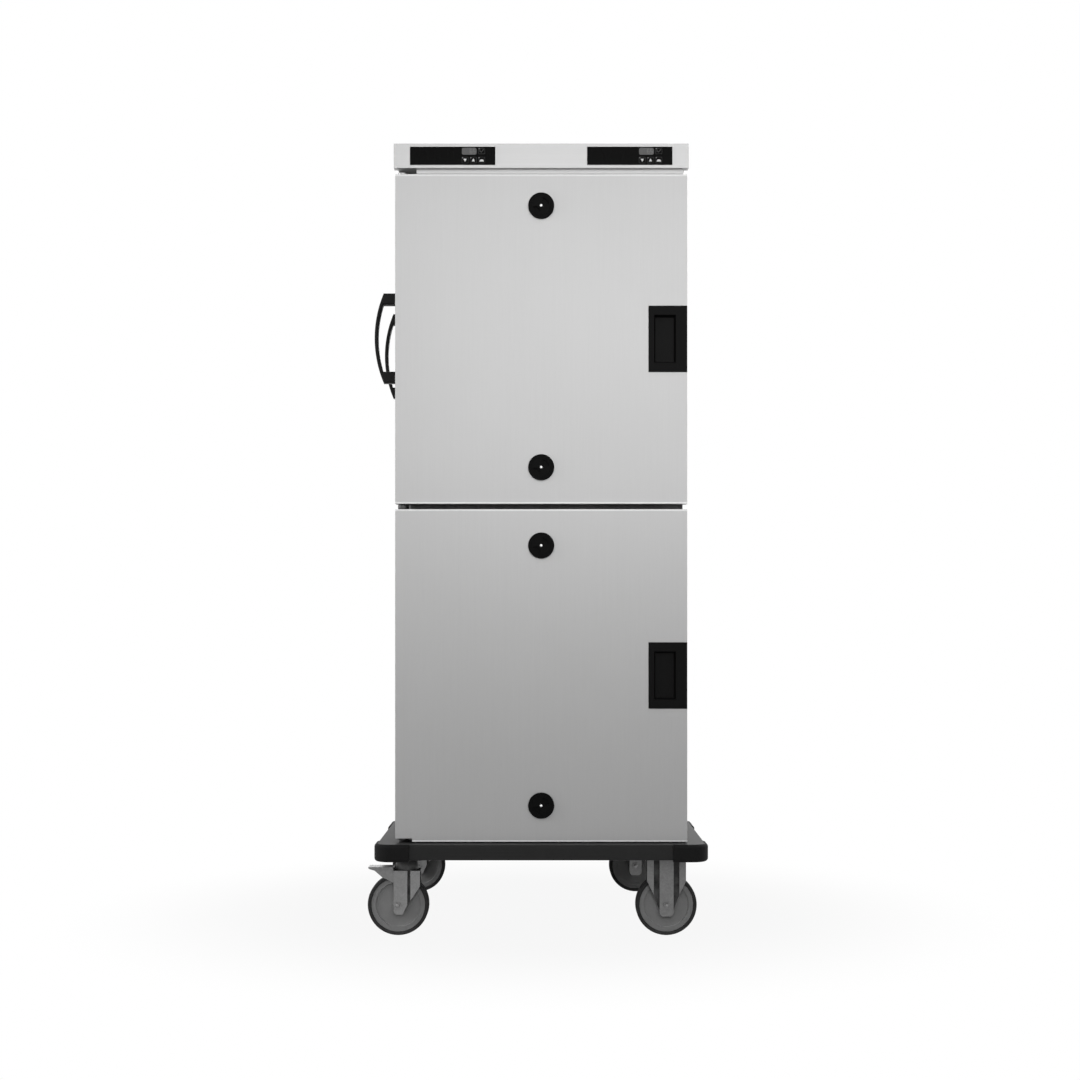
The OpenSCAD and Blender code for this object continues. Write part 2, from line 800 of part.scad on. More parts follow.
module vent_cover(z) {
  translate([0, 0, z]) difference() {
    union() {
      rod_y(vent_d / 2, [cover_y0 + vent_bevel, cover_y1]);
      translate([0, cover_y0 + vent_bevel, 0]) rotate([90, 0, 0])
        cylinder(r1 = vent_d / 2, r2 = vent_d / 2 - vent_bevel, h = vent_bevel);
    }
    along_y([cover_y0 - over, cover_y1 + over]) {
      circle(vent_stud_r + run);
      vent_windows(45);
    }
    rod_y(vent_head_r + gap, [cover_y0 - over, cover_y0 + head_sink]);
    for (r = vent_groove_r) along_y([cover_y0 - over, cover_y0 + vent_groove]) difference() {
      circle(r + vent_groove_w);
      circle(r);
    }
  }
}

module upper_door_top_vent() color(black) at_cabinet() vent_cover(upper_vents_z[0]);
module upper_door_bottom_vent() color(black) at_cabinet() vent_cover(upper_vents_z[1]);
module lower_door_top_vent() color(black) at_cabinet() vent_cover(lower_vents_z[0]);
module lower_door_bottom_vent() color(black) at_cabinet() vent_cover(lower_vents_z[1]);

// Latches

latch_y1 = latch_y0 + latch_depth;
tail_y1 = door_y1 - gap;
cavity_x1 = lever_x + (tail_y1 - lever_y) * sin(lever_angle) + tail_t / 2 + lever_play;
tail_play = 3;
tail_slot_h = strike_h + 2 * tail_play;
nose_gap = 0.4;
strike_foot = 16;
strike_play = 1.2;
strike_x = lever_x - tail_t / 2 - hook_l - nose_gap - strike_lip - strike_t;

module latch_housing(zc) {
  translate([0, 0, zc]) difference() {
    union() {
      along_y([latch_y0, latch_y1]) translate([(latch_x0 + latch_x1) / 2, 0])
        rounded_rect(latch_w, latch_h, latch_edge_r);
      span([latch_x0 + latch_w / 2, latch_x1], [latch_y0, latch_y1],
        [-latch_h / 2, latch_h / 2]);
    }
    along_y([latch_y0 - over, latch_y0 + rim_t + over]) translate([(cup_x0 + cup_x1) / 2, 0])
      rounded_rect(cup_w, cup_h, latch_edge_r / 2);
    span([cup_x0, cavity_x1], [latch_y0 + rim_t, latch_y1 - latch_wall],
      [-cup_h / 2, cup_h / 2]);
    span([strike_x - strike_play, cavity_x1], [latch_y0 + rim_t, latch_y1 + over],
      [-tail_slot_h / 2, tail_slot_h / 2]);
    translate([lever_x, lever_y, -cup_h / 2 - rim_t])
      cylinder(r = lever_pin_r + run, h = cup_h + 2 * rim_t);
  }
}

module upper_latch_housing() color(black) at_cabinet() latch_housing(upper_latch_z);
module lower_latch_housing() color(black) at_cabinet() latch_housing(lower_latch_z);

// Pressed plate at the bottom of the finger cup, with its pin and its hooked tail
module latch_lever(zc) {
  translate([0, 0, zc]) {
    span([cup_x0 + lever_play, lever_x], [lever_y - lever_t / 2, lever_y + lever_t / 2],
      [lever_play - cup_h / 2, cup_h / 2 - lever_play]);
    translate([lever_x, lever_y, lever_play - cup_h / 2])
      cylinder(r = lever_barrel_r, h = cup_h - 2 * lever_play);
    translate([lever_x, lever_y, gap - cup_h / 2 - rim_t])
      cylinder(r = lever_pin_r, h = cup_h + 2 * rim_t - 2 * gap);
    span([lever_x - tail_t / 2, lever_x + tail_t / 2], [lever_y, tail_y1],
      [-tail_h / 2, tail_h / 2]);
    translate([lever_x, 0, -tail_h / 2]) linear_extrude(tail_h)
      polygon([[-tail_t / 2, tail_y1], [-tail_t / 2 - hook_l, tail_y1 - hook_l],
        [-tail_t / 2, tail_y1 - hook_l]]);
  }
}

module upper_latch_lever() color(black) at_cabinet() latch_lever(upper_latch_z);
module lower_latch_lever() color(black) at_cabinet() latch_lever(lower_latch_z);

// Catch plates on the cabinet's front, beside the gaskets
module latch_strikes() color(steel) at_cabinet() {
  lip_y0 = tail_y1 - hook_l - gap - strike_t;
  for (zc = [upper_latch_z, lower_latch_z]) translate([0, 0, zc]) {
    span([strike_x, strike_x + strike_foot], [body_y0 - strike_t, body_y0],
      [-strike_h / 2, strike_h / 2]);
    span([strike_x, strike_x + strike_t], [lip_y0, body_y0], [-strike_h / 2, strike_h / 2]);
    span([strike_x, strike_x + strike_t + strike_lip], [lip_y0, lip_y0 + strike_t],
      [-strike_h / 2, strike_h / 2]);
  }
}

// Hinges

// Leaf on the cabinet's front and arm out to the pin, with the arm's heights in z
module hinge_arm(z, leaf_z) {
  arm_x = [pivot_x - bracket_w / 2, pivot_x + bracket_w / 2];
  span(arm_x, [body_y0 - leaf_t, body_y0], leaf_z);
  span(arm_x, [pivot_y, body_y0], z);
  translate([pivot_x, pivot_y, z[0]]) cylinder(r = bracket_nose, h = z[1] - z[0]);
}

module hinge_pin(z) {
  translate([pivot_x, pivot_y, z[0]]) cylinder(d = hinge_pin_d, h = z[1] - z[0]);
}

module hinge_brackets() color(dark_steel) at_cabinet() {
  low_z = lower_z0 + (notch_h - bracket_t) / 2;
  high_z = upper_z1 + (head_gap - bracket_t) / 2;
  mid_z = [divider_z - mid_block_t / 2, divider_z + mid_block_t / 2];
  hinge_arm([low_z, low_z + bracket_t], [low_z, low_z + leaf_h]);
  hinge_pin([low_z, lower_z0 + notch_h + pin_bite]);
  hinge_arm(mid_z, [divider_z - leaf_h / 2, divider_z + leaf_h / 2]);
  hinge_pin([lower_z1 - pin_bite, upper_z0 + pin_bite]);
  hinge_arm([high_z, high_z + bracket_t], [high_z + bracket_t - leaf_h, high_z + bracket_t]);
  hinge_pin([upper_z1 - pin_bite, high_z + bracket_t]);
}

// Handles

bow_sag = handle_reach - foot_reach;
bow_r = (pow(handle_h / 2, 2) + pow(bow_sag, 2)) / (2 * bow_sag);
bow_angle = asin(handle_h / 2 / bow_r);
bow_edge_r = 3.6;
foot_bite = 1.5;
foot_edge_r = 5;
body_mid_y = (body_y0 + body_y1) / 2;

// One handle on the cabinet's left side
module push_handle(y) {
  translate([-body_w / 2 - handle_reach + bow_r, y, handle_z]) rotate([90, 0, 0]) {
    intersection() {
      rotate(180 - bow_angle) rotate_extrude(angle = 2 * bow_angle, $fn = 360)
        translate([bow_r - bow_t / 2, 0]) rounded_rect(bow_t, handle_w, bow_edge_r, $fn = 24);
      translate([-2 * bow_r, -handle_h / 2, -handle_w]) cube([2 * bow_r, handle_h, 2 * handle_w]);
    }
    intersection() {
      for (s = [-1, 1])
        translate([handle_reach - bow_r, s * (handle_h - foot_h) / 2, 0]) rotate([0, -90, 0])
          linear_extrude(handle_reach) rotate(90)
            rounded_rect(foot_h, handle_w, foot_edge_r, $fn = 24);
      cylinder(r = bow_r - bow_t / 2 + foot_bite, h = 2 * handle_w, center = true, $fn = 360);
    }
  }
}

module push_handles() color(black) at_cabinet() {
  for (s = [-1, 1]) push_handle(body_mid_y + s * handle_gap / 2);
}

// Chamber fittings

rack_y0 = body_y0 + rack_front_gap;
rack_x = tray_w / 2 + ledge_t;
rib_shares = [0.04, 0.5, 0.96];
low_share = 0.1;
flange_h = 3.5;

// Uprights and tray ledges on both sides of a chamber
module ladder_racks(z) {
  low = (z[1] - z[0] - (levels - 1) * level_pitch) / 2 - low_share * level_pitch;
  for (s = [0, 1]) mirror([s, 0, 0]) {
    for (r = rib_shares)
      span([rack_x, chamber_w / 2], [rack_y0 + r * rack_d - post_t / 2,
        rack_y0 + r * rack_d + post_t / 2], z);
    for (i = [0:levels - 1]) {
      zl = z[0] + low + i * level_pitch;
      span([rack_x - ledge_w, rack_x], [rack_y0, rack_y0 + rack_d], [zl, zl + ledge_t]);
      span([rack_x - ledge_t, rack_x], [rack_y0, rack_y0 + rack_d], [zl, zl + flange_h]);
    }
  }
}

module tray_runners() color(steel) at_cabinet() {
  ladder_racks(lower_chamber_z);
  ladder_racks(upper_chamber_z);
}

cover_y = chamber_y1 - duct_depth;
cover_x = chamber_w / 2 - cover_margin;
grille_rings = 4;
grille_share = 0.11;
grille_w = 7;
grille_angle = 70;
slot_w = 8;
slots = 5;
slot_pitch = 18;

// Folded cover in front of a fan, with its intake grille and the outlets at its sides
module fan_cover(z) {
  mid = (z[0] + z[1]) / 2;
  half_h = (z[1] - z[0]) / 2 - cover_top_margin;
  translate([0, 0, mid]) difference() {
    span([-cover_x, cover_x], [cover_y, chamber_y1], [-half_h, half_h]);
    span([cover_t - cover_x, cover_x - cover_t], [cover_y + cover_t, chamber_y1 + over],
      [cover_t - half_h, half_h - cover_t]);
    along_y([cover_y - over, cover_y + cover_t + over]) {
      for (i = [1:grille_rings], a = [45:90:315])
        ring_sector(i * grille_share * fan_d, i * grille_share * fan_d + grille_w, a,
          grille_angle);
      for (s = [-1, 1], i = [0:slots - 1])
        translate([s * (cover_x - slot_pitch * (i + 1)), 0])
          rounded_rect(slot_w, half_h, slot_w / 2 - gap);
    }
  }
}

module fan_covers() color(steel) at_cabinet() {
  fan_cover(lower_chamber_z);
  fan_cover(upper_chamber_z);
}

fan_gap = 8;
fan_y1 = chamber_y1 - fan_gap;
fan_y0 = fan_y1 - fan_h;
fan_hub_r = 13;
fan_hub_l = 23;
fan_eye_d = 108;
fan_blade_r = 63;
fan_blade_l = 19.5;
fan_blade_lean = 35;
shaft_bite = 20;

// Impeller with leaning blades between two rings, on the motor's shaft
module fan(z) {
  translate([0, 0, (z[0] + z[1]) / 2]) {
    rod_y(fan_d / 2, [fan_y1 - blade_t, fan_y1]);
    rod_y(fan_hub_r, [fan_y1 - fan_hub_l, fan_y1]);
    rod_y(shaft_r, [fan_y1 - fan_hub_l, chamber_y1 + sheet_t + shaft_bite]);
    along_y([fan_y0, fan_y0 + blade_t]) difference() {
      circle(d = fan_d);
      circle(d = fan_eye_d);
    }
    along_y([fan_y0, fan_y1]) for (i = [0:fan_blades - 1]) rotate(i * 360 / fan_blades)
      translate([fan_blade_r, 0]) rotate(fan_blade_lean)
        square([fan_blade_l, blade_t], center = true);
  }
}

module upper_fan() color(dark_steel) at_cabinet() fan(upper_chamber_z);
module lower_fan() color(dark_steel) at_cabinet() fan(lower_chamber_z);

module fan_motors() color(dark_steel) at_cabinet() {
  for (z = [lower_chamber_z, upper_chamber_z]) translate([0, 0, (z[0] + z[1]) / 2])
    along_y([chamber_y1 + sheet_t, chamber_y1 + sheet_t + motor_d - gap]) difference() {
      circle(motor_r);
      circle(shaft_r + run);
    }
}

// Ring heater round each fan, held at the chamber's back wall by its two ends
module heater_elements() color([0.3, 0.28, 0.26]) at_cabinet() {
  coil_y = (fan_y0 + fan_y1) / 2;
  for (z = [lower_chamber_z, upper_chamber_z])
    translate([0, 0, (z[0] + z[1]) / 2]) {
      translate([0, coil_y, 0]) rotate([90, 0, 0]) rotate_extrude($fn = 72)
        translate([coil_d / 2, 0]) circle(coil_r, $fn = 20);
      for (s = [-1, 1])
        translate([s * coil_tail / 2, 0, -sqrt(pow(coil_d / 2, 2) - pow(coil_tail / 2, 2))])
          along_y([coil_y, chamber_y1]) circle(coil_r, $fn = 20);
    }
}

inlet_corner_r = 4;
inlet_flange_t = 3;
inlet_depth = 24;
inlet_wall = 8;
socket_depth = 20;
blade_w = 7;
blade_l = 15;
blade_gap = 13;

module inlet_cutout(play = gap) {
  translate([0, 0, inlet_z]) along_y([body_y1 - wall_t, body_y1 + over])
    square([inlet_w - inlet_wall + 2 * play, inlet_h - inlet_wall + 2 * play], center = true);
}

// Recessed mains inlet with three flat pins, low on the cabinet's back
module power_inlet() color(black) at_cabinet() {
  back_y = body_y1 + inlet_flange_t;
  translate([0, 0, inlet_z]) {
    difference() {
      union() {
        along_y([body_y1, back_y]) rounded_rect(inlet_w, inlet_h, inlet_corner_r);
        along_y([body_y1 - inlet_depth, body_y1])
          square([inlet_w - inlet_wall, inlet_h - inlet_wall], center = true);
      }
      along_y([back_y - socket_depth, back_y + over])
        rounded_rect(inlet_w - 2 * inlet_wall, inlet_h - 3 * inlet_wall, inlet_corner_r);
    }
    for (p = [[0, blade_gap / 2], [-blade_gap, -blade_gap / 2], [blade_gap, -blade_gap / 2]])
      translate([p[0], 0, p[1]]) along_y([back_y - socket_depth - over,
        back_y - socket_depth + blade_l]) square([blade_t, blade_w], center = true);
  }
}

// Castors

leg_play = 5.5;
fixed_leg_play = 3.5;
leg_y = tyre_w / 2 + leg_play;
fixed_leg_y = tyre_w / 2 + fixed_leg_play;
leg_drop = 22;
fixed_leg_drop = 27;
leg_x0 = -31;
swivel_leg = [64, crown_z - wheel_r + leg_drop];
fixed_leg = [95, castor_h - plate_t - wheel_r + fixed_leg_drop];
// Outlines as shares of a leg's width and height, from its lower left corner
swivel_leg_shares = [[0, 1], [0, 0.06], [0.08, 0], [0.34, 0], [0.52, 0.2], [0.7, 0.37],
  [1, 0.64], [1, 1]];
swivel_rib_shares = [[0, 1], [0, 0.06], [0.08, 0], [0.34, 0], [0.52, 0.22], [0.52, 1]];
swivel_flange_shares = [[0.64, 1], [0.64, 0.32], [0.7, 0.37], [1, 0.64], [1, 1]];
fixed_leg_shares = [[0, 1], [0, 0.6], [0.17, 0.37], [0.33, 0.08], [0.4, 0], [0.6, 0],
  [0.67, 0.08], [0.83, 0.37], [1, 0.6], [1, 1]];
fixed_rib_shares = [[0.32, 1], [0.32, 0.05], [0.38, 0], [0.62, 0], [0.68, 0.05], [0.68, 1]];
fixed_flange_shares = [[0, 1], [0, 0.6], [0.17, 0.37], [0.17, 1]];

// Outline from shares of a size, its lower left corner at p
module share_outline(p, size, shares) {
  polygon([for (s = shares) [p[0] + s[0] * size[0], p[1] + s[1] * size[1]]]);
}

// Runs its children for the near and the far leg, Y measured outwards from the wheel's middle
module both_legs() {
  for (s = [0, 1]) mirror([0, s, 0]) children();
}

// Axle at x with its nuts and spacers, for legs whose inner faces are at y
module axle(x, y) {
  rib_y = y + leg_t + leg_emboss;
  translate([x, 0, wheel_r]) {
    rod_y(axle_d / 2, [-rib_y - nut_t, rib_y + nut_t]);
    both_legs() {
      along_y([hub_half + gap, y]) circle(nut_r);
      along_y([rib_y, rib_y + nut_t]) circle(nut_r, $fn = 6);
    }
  }
}

// Plate with the heads and shanks of its four bolts
module castor_plate(lx, ly, bx, by) {
  translate([0, 0, castor_h - plate_t]) linear_extrude(plate_t) rounded_rect(lx, ly, nut_r);
  at_bolts(bx, by) {
    translate([0, 0, castor_h - plate_t - bolt_head_t])
      cylinder(r = bolt_head_r, h = bolt_head_t + over, $fn = 6);
    translate([0, 0, castor_h - over]) cylinder(r = bolt_shank_r, h = over + tray_t + bolt_head_t);
  }
}

kingpin_r = 8;
kingpin_l = 22;
race_h = 12;
race_z0 = crown_z + 2 * gap;
head_taper_share = 0.82;

module swivel_plate() {
  castor_plate(plate_w, plate_l, bolt_y, bolt_x);
  difference() {
    union() {
      translate([0, 0, race_z0]) cylinder(r = head_r, h = race_h);
      translate([0, 0, race_z0 + race_h]) cylinder(r1 = head_r, r2 = head_taper_share * head_r,
        h = castor_h - plate_t - race_z0 - race_h);
    }
    translate([0, 0, race_z0 - over])
      cylinder(r = kingpin_r + run, h = kingpin_l - 2 * gap + over + gap);
  }
}

module swivel_plates() color(castor_grey) at_cabinet() {
  for (s = [-1, 1]) translate([-swivel_x, s * castor_y, 0]) swivel_plate();
}

// Place of the pedal's pin, from the swivel axis and the floor
pedal_pin_x = 12;
pedal_pin_drop = 10;
pedal_pin_z = crown_z - pedal_pin_drop;
pedal_pin_r = 3;

module swivel_fork() {
  corner = [leg_x0, crown_z - swivel_leg[1]];
  rib_y = leg_y + leg_t + leg_emboss;
  translate([leg_x0, -leg_y - leg_t, crown_z - crown_t])
    cube([swivel_leg[0], 2 * (leg_y + leg_t), crown_t]);
  translate([0, 0, crown_z - over]) cylinder(r = kingpin_r, h = over + kingpin_l);
  both_legs() {
    along_y([leg_y, leg_y + leg_t]) share_outline(corner, swivel_leg, swivel_leg_shares);
    along_y([leg_y, rib_y]) {
      share_outline(corner, swivel_leg, swivel_rib_shares);
      share_outline(corner, swivel_leg, swivel_flange_shares);
    }
  }
  translate([pedal_pin_x, 0, pedal_pin_z]) rod_y(pedal_pin_r, [-rib_y - gap, rib_y + gap]);
  axle(-trail, leg_y);
}

module front_swivel_fork() color(castor_grey) at_cabinet()
  translate([-swivel_x, -castor_y, 0]) swivel_fork();
module rear_swivel_fork() color(castor_grey) at_cabinet()
  translate([-swivel_x, castor_y, 0]) swivel_fork();

pedal_reach = 94;
pedal_rise = 8;
pedal_z = crown_z + pedal_rise;
pedal_t = 3.5;
pedal_back = 2;
pedal_tail = 6;
cheek_t = 2.5;
cheek_play = 1;
cheek_y = leg_y - cheek_play - cheek_t;
pedal_w = 2 * (cheek_y + cheek_t);
cheek_h = 41;
cheek = [pedal_reach + pedal_pin_x + pedal_tail, cheek_h];
// Outline of a cheek as shares of its length and height, from its lower left corner
cheek_shares = [[0, 1], [0.02, 0.88], [0.14, 0.78], [0.3, 0.4], [0.58, 0.02], [0.66, 0],
  [0.8, 0.45], [1, 0.45], [1, 0.66], [0.546, 0.66], [0.546, 1]];
shoe_x = [-52, -38];
shoe_gap = 0.4;
shoe_margin = 2;
// Underside of the brake shoe, which nearly meets the tyre when the pedal is pressed
shoe_z = wheel_r + sqrt(pow(wheel_r, 2) - pow(shoe_x[1] + trail, 2))
  + (pedal_pin_x - shoe_x[1]) * sin(pedal_angle) + shoe_gap;

// Pedal with two cheeks, and between them the shoe that comes down on the tyre
module brake_pedal() {
  difference() {
    union() {
      both_legs() along_y([cheek_y, cheek_y + cheek_t])
        share_outline([-pedal_reach, pedal_z - cheek_h], cheek, cheek_shares);
      span([-pedal_reach, leg_x0 - pedal_back], [-pedal_w / 2, pedal_w / 2],
        [pedal_z - pedal_t, pedal_z]);
      span(shoe_x, [shoe_margin - tyre_w / 2, tyre_w / 2 - shoe_margin],
        [shoe_z, pedal_z - pedal_t + over]);
    }
    translate([pedal_pin_x, 0, pedal_pin_z]) rod_y(pedal_pin_r + run, [-leg_y, leg_y]);
  }
}

module front_brake_pedal() color(castor_grey) at_cabinet()
  translate([-swivel_x, -castor_y, 0]) brake_pedal();
module rear_brake_pedal() color(castor_grey) at_cabinet()
  translate([-swivel_x, castor_y, 0]) brake_pedal();

module fixed_fork() {
  corner = [-fixed_leg[0] / 2, castor_h - plate_t - fixed_leg[1]];
  castor_plate(plate_l, plate_w, bolt_x, bolt_y);
  both_legs() {
    along_y([fixed_leg_y, fixed_leg_y + leg_t])
      share_outline(corner, fixed_leg, fixed_leg_shares);
    along_y([fixed_leg_y, fixed_leg_y + leg_t + leg_emboss]) {
      share_outline(corner, fixed_leg, fixed_rib_shares);
      for (s = [0, 1]) mirror([s, 0]) share_outline(corner, fixed_leg, fixed_flange_shares);
    }
  }
  axle(0, fixed_leg_y);
}

module fixed_forks() color(castor_grey) at_cabinet() {
  translate([fixed_x, -castor_y, 0]) fixed_fork();
  translate([rear_fixed_x, castor_y, 0]) fixed_fork();
}

// Places of the four wheels' middles
front_swivel = [-swivel_x - trail, -castor_y, wheel_r];
rear_swivel = [-swivel_x - trail, castor_y, wheel_r];
front_fixed = [fixed_x, -castor_y, wheel_r];
rear_fixed = [rear_fixed_x, castor_y, wheel_r];

// Half section of a wheel: hub, dished web and rim, from the axle outwards
module wheel(p) {
  bore_r = axle_d / 2 + run;
  dish_r = rim_r - rim_h;
  translate(p) rotate([90, 0, 0]) rotate_extrude()
    polygon([[bore_r, hub_half], [hub_r, hub_half], [hub_r, web_half],
      [dish_r, web_half * web_dish_share], [dish_r, rim_half], [rim_r, rim_half],
      [rim_r, -rim_half], [dish_r, -rim_half], [dish_r, -web_half * web_dish_share],
      [hub_r, -web_half], [hub_r, -hub_half], [bore_r, -hub_half]]);
}

module tyre(p) {
  translate(p) rotate([90, 0, 0]) rotate_extrude() {
    translate([rim_r, -tyre_w / 2]) square([tyre_t - shoulder_r, tyre_w]);
    translate([wheel_r - shoulder_r - over, shoulder_r - tyre_w / 2])
      square([shoulder_r + over, tyre_w - 2 * shoulder_r]);
    for (s = [-1, 1]) translate([wheel_r - shoulder_r, s * (tyre_w / 2 - shoulder_r)])
      circle(shoulder_r, $fn = 48);
  }
}

module front_swivel_wheel() color(castor_grey) at_cabinet() wheel(front_swivel);
module rear_swivel_wheel() color(castor_grey) at_cabinet() wheel(rear_swivel);
module front_fixed_wheel() color(castor_grey) at_cabinet() wheel(front_fixed);
module rear_fixed_wheel() color(castor_grey) at_cabinet() wheel(rear_fixed);
module front_swivel_tyre() color(dark_steel) at_cabinet() tyre(front_swivel);
module rear_swivel_tyre() color(dark_steel) at_cabinet() tyre(rear_swivel);
module front_fixed_tyre() color(dark_steel) at_cabinet() tyre(front_fixed);
module rear_fixed_tyre() color(dark_steel) at_cabinet() tyre(rear_fixed);

base_tray();
bumper_rails();
rubber_bumpers();
cabinet_shell();
wall_insulation();
heated_chambers();
top_cover();
control_fascia();
control_panels();
displays();
left_menu_key();
left_down_key();
left_up_key();
left_light_key();
right_menu_key();
right_down_key();
right_up_key();
right_light_key();
upper_door_shell();
upper_door_insulation();
upper_door_liner();
upper_door_gasket();
lower_door_shell();
lower_door_insulation();
lower_door_liner();
lower_door_gasket();
upper_vent_seats();
lower_vent_seats();
upper_door_top_vent();
upper_door_bottom_vent();
lower_door_top_vent();
lower_door_bottom_vent();
upper_latch_housing();
upper_latch_lever();
lower_latch_housing();
lower_latch_lever();
latch_strikes();
hinge_brackets();
push_handles();
tray_runners();
upper_fan();
lower_fan();
fan_motors();
fan_covers();
heater_elements();
power_inlet();
swivel_plates();
front_swivel_fork();
rear_swivel_fork();
front_brake_pedal();
rear_brake_pedal();
fixed_forks();
front_swivel_wheel();
front_swivel_tyre();
rear_swivel_wheel();
rear_swivel_tyre();
front_fixed_wheel();
front_fixed_tyre();
rear_fixed_wheel();
rear_fixed_tyre();
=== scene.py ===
"""Looks of the heated food trolley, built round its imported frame.

The frame is in metres: X to the right seen from the doors, Y to the back, Z up from the floor.
Lengths in this file are millimetres until mm() or MM turns them into metres.
"""

import math

import bmesh
import bpy
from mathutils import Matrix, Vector


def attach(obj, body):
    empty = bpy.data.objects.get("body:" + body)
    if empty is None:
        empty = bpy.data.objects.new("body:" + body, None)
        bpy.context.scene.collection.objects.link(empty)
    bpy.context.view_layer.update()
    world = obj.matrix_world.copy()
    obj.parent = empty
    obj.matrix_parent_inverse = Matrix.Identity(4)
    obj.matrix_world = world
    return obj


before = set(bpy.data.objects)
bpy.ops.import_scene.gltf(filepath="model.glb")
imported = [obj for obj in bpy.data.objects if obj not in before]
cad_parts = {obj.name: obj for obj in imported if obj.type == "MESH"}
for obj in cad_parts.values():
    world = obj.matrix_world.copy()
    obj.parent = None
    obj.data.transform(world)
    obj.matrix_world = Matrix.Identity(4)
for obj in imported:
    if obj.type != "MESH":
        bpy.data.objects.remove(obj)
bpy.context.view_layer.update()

MM = 0.001
# Greys of floor dust and of the painted shade in the castors' grooves, from 0 to 255
DUST_LEVEL, GROOVE_SHADE_LEVEL = 118, 38


def mm(*values):
    """Millimetres as a vector in metres."""
    return Vector(values) * MM


def grey(level, tint=(1.0, 1.0, 1.0)):
    """Linear colour of a grey given as it reads on a screen, from 0 to 255."""
    share = level / 255
    linear = share / 12.92 if share <= 0.04045 else ((share + 0.055) / 1.055) ** 2.4
    return tuple(linear * t for t in tint) + (1.0,)


# ---------------------------------------------------------------- finishes


class Wire:
    """A value on its way through a node tree. Operators on it add Math nodes."""

    def __init__(self, nodes, socket):
        self.nodes = nodes
        self.socket = socket

    def maths(self, operation, first, second):
        return self.nodes.node("Math", {"operation": operation}, {0: first, 1: second})

    def __add__(self, other):
        return self.maths("ADD", self, other)

    def __sub__(self, other):
        return self.maths("SUBTRACT", self, other)

    def __mul__(self, other):
        return self.maths("MULTIPLY", self, other)

    def __gt__(self, other):
        return self.maths("GREATER_THAN", self, other)

    def __or__(self, other):
        return self.maths("MAXIMUM", self, other)

    def __abs__(self):
        return self.nodes.node("Math", {"operation": "ABSOLUTE"}, {0: self})

    __radd__, __rmul__ = __add__, __mul__


class ShaderNodes:
    """The node tree of a material or of the world."""

    def __init__(self, tree):
        self.tree = tree

    def node(self, kind, settings, sockets, output=0):
        made = self.tree.nodes.new("ShaderNode" + kind)
        for key, value in settings.items():
            setattr(made, key, value)
        for key, value in sockets.items():
            self.feed(made.inputs[key], value)
        return Wire(self, made.outputs[output])

    def feed(self, socket, value):
        if isinstance(value, Wire):
            self.tree.links.new(value.socket, socket)
        else:
            socket.default_value = value

    def white_rays(self):
        """1 for the rays that find a white studio: from the camera, off gloss, through glass."""
        kinds = [self.node("LightPath", {}, {}, f"Is {kind} Ray")
                 for kind in ("Camera", "Glossy", "Transmission")]
        return kinds[0] | kinds[1] | kinds[2]


class Finish(ShaderNodes):
    """A Principled material and the nodes that vary it, in metres of the frame."""

    def __init__(self, name, **fixed):
        self.material = bpy.data.materials.new(name)
        self.material.use_nodes = True
        super().__init__(self.material.node_tree)
        self.shader = self.tree.nodes["Principled BSDF"]
        self.place = self.node("TexCoord", {}, {}, "Object")
        for socket, value in fixed.items():
            self.set(socket.replace("_", " "), value)

    def along(self, axis):
        """Place along an axis, 0 for X, 1 for Y and 2 for Z, in metres."""
        return self.node("SeparateXYZ", {}, {0: self.place}, axis)

    def edges(self, width_mm, patches):
        """Wear along the edges: 1 where the surface turns within width_mm and patches are high,
        0 on flat faces."""
        rounded = self.node("Bevel", {"samples": 4}, {"Radius": width_mm * MM})
        facing = self.node("NewGeometry", {}, {}, "Normal")
        turned_by = self.node("VectorMath", {"operation": "DOT_PRODUCT"},
                              {0: rounded, 1: facing}, 1)
        return self.ramp(turned_by, 0.99, 0.86, 0.0, 1.0) * self.spread(patches, 0.25, 1.0)

    def set(self, socket, value):
        self.feed(self.shader.inputs[socket], value)

    def noise(self, scale, stretch=(1, 1, 1), detail=2.0, roughness=0.55):
        """Soft noise round 0.5, with scale blots a metre, times stretch along each axis."""
        place = self.node("VectorMath", {"operation": "MULTIPLY"}, {0: self.place, 1: stretch})
        return self.node("TexNoise", {}, {"Vector": place, "Scale": scale, "Detail": detail,
                                          "Roughness": roughness})

    def cells(self, scale):
        return self.node("TexVoronoi", {}, {"Vector": self.place, "Scale": scale}, "Color")

    def blend(self, factor, first, second):
        """Colour between two colours."""
        return self.node("Mix", {"data_type": "RGBA"}, {0: factor, 6: first, 7: second}, 2)

    def bump(self, height, depth_mm, strength=1.0):
        self.set("Normal", self.node("Bump", {}, {"Height": height, "Distance": depth_mm * MM,
                                                  "Strength": strength}))

    def ramp(self, value, start, end, low, high, shape="LINEAR"):
        """Goes from low to high while value goes from start to end, and stays there."""
        return self.node("MapRange", {"interpolation_type": shape},
                         {"Value": value, "From Min": start, "From Max": end, "To Min": low,
                          "To Max": high})

    def spread(self, value, low, high):
        """Value from 0.25…0.75, where noise mostly lies, drawn out to low…high."""
        return self.ramp(value, 0.25, 0.75, low, high)


GRAIN_X, GRAIN_Y, GRAIN_Z = (0.012, 1, 1), (1, 0.012, 1), (1, 1, 0.012)


def ground(f, level, grain):
    """Ground surface, whose scratches run along the grain: its colour, streaks and roughness
    above the smoothest spot. The wiped patches are a hand wide."""
    scratches = f.noise(900, grain, 2.0, 0.5)
    streaks = f.noise(120, grain, 2.0)
    wiped = f.noise(2.6, detail=3.0)
    tone = f.spread(scratches * 0.5 + streaks * 0.2 + wiped * 0.3, 0.0, 1.0)
    f.bump(scratches + streaks * 0.4, 0.003, 0.4)
    return (f.blend(tone, grey(level - 3), grey(level + 3)), streaks,
            scratches * 0.12 + wiped * 0.06)


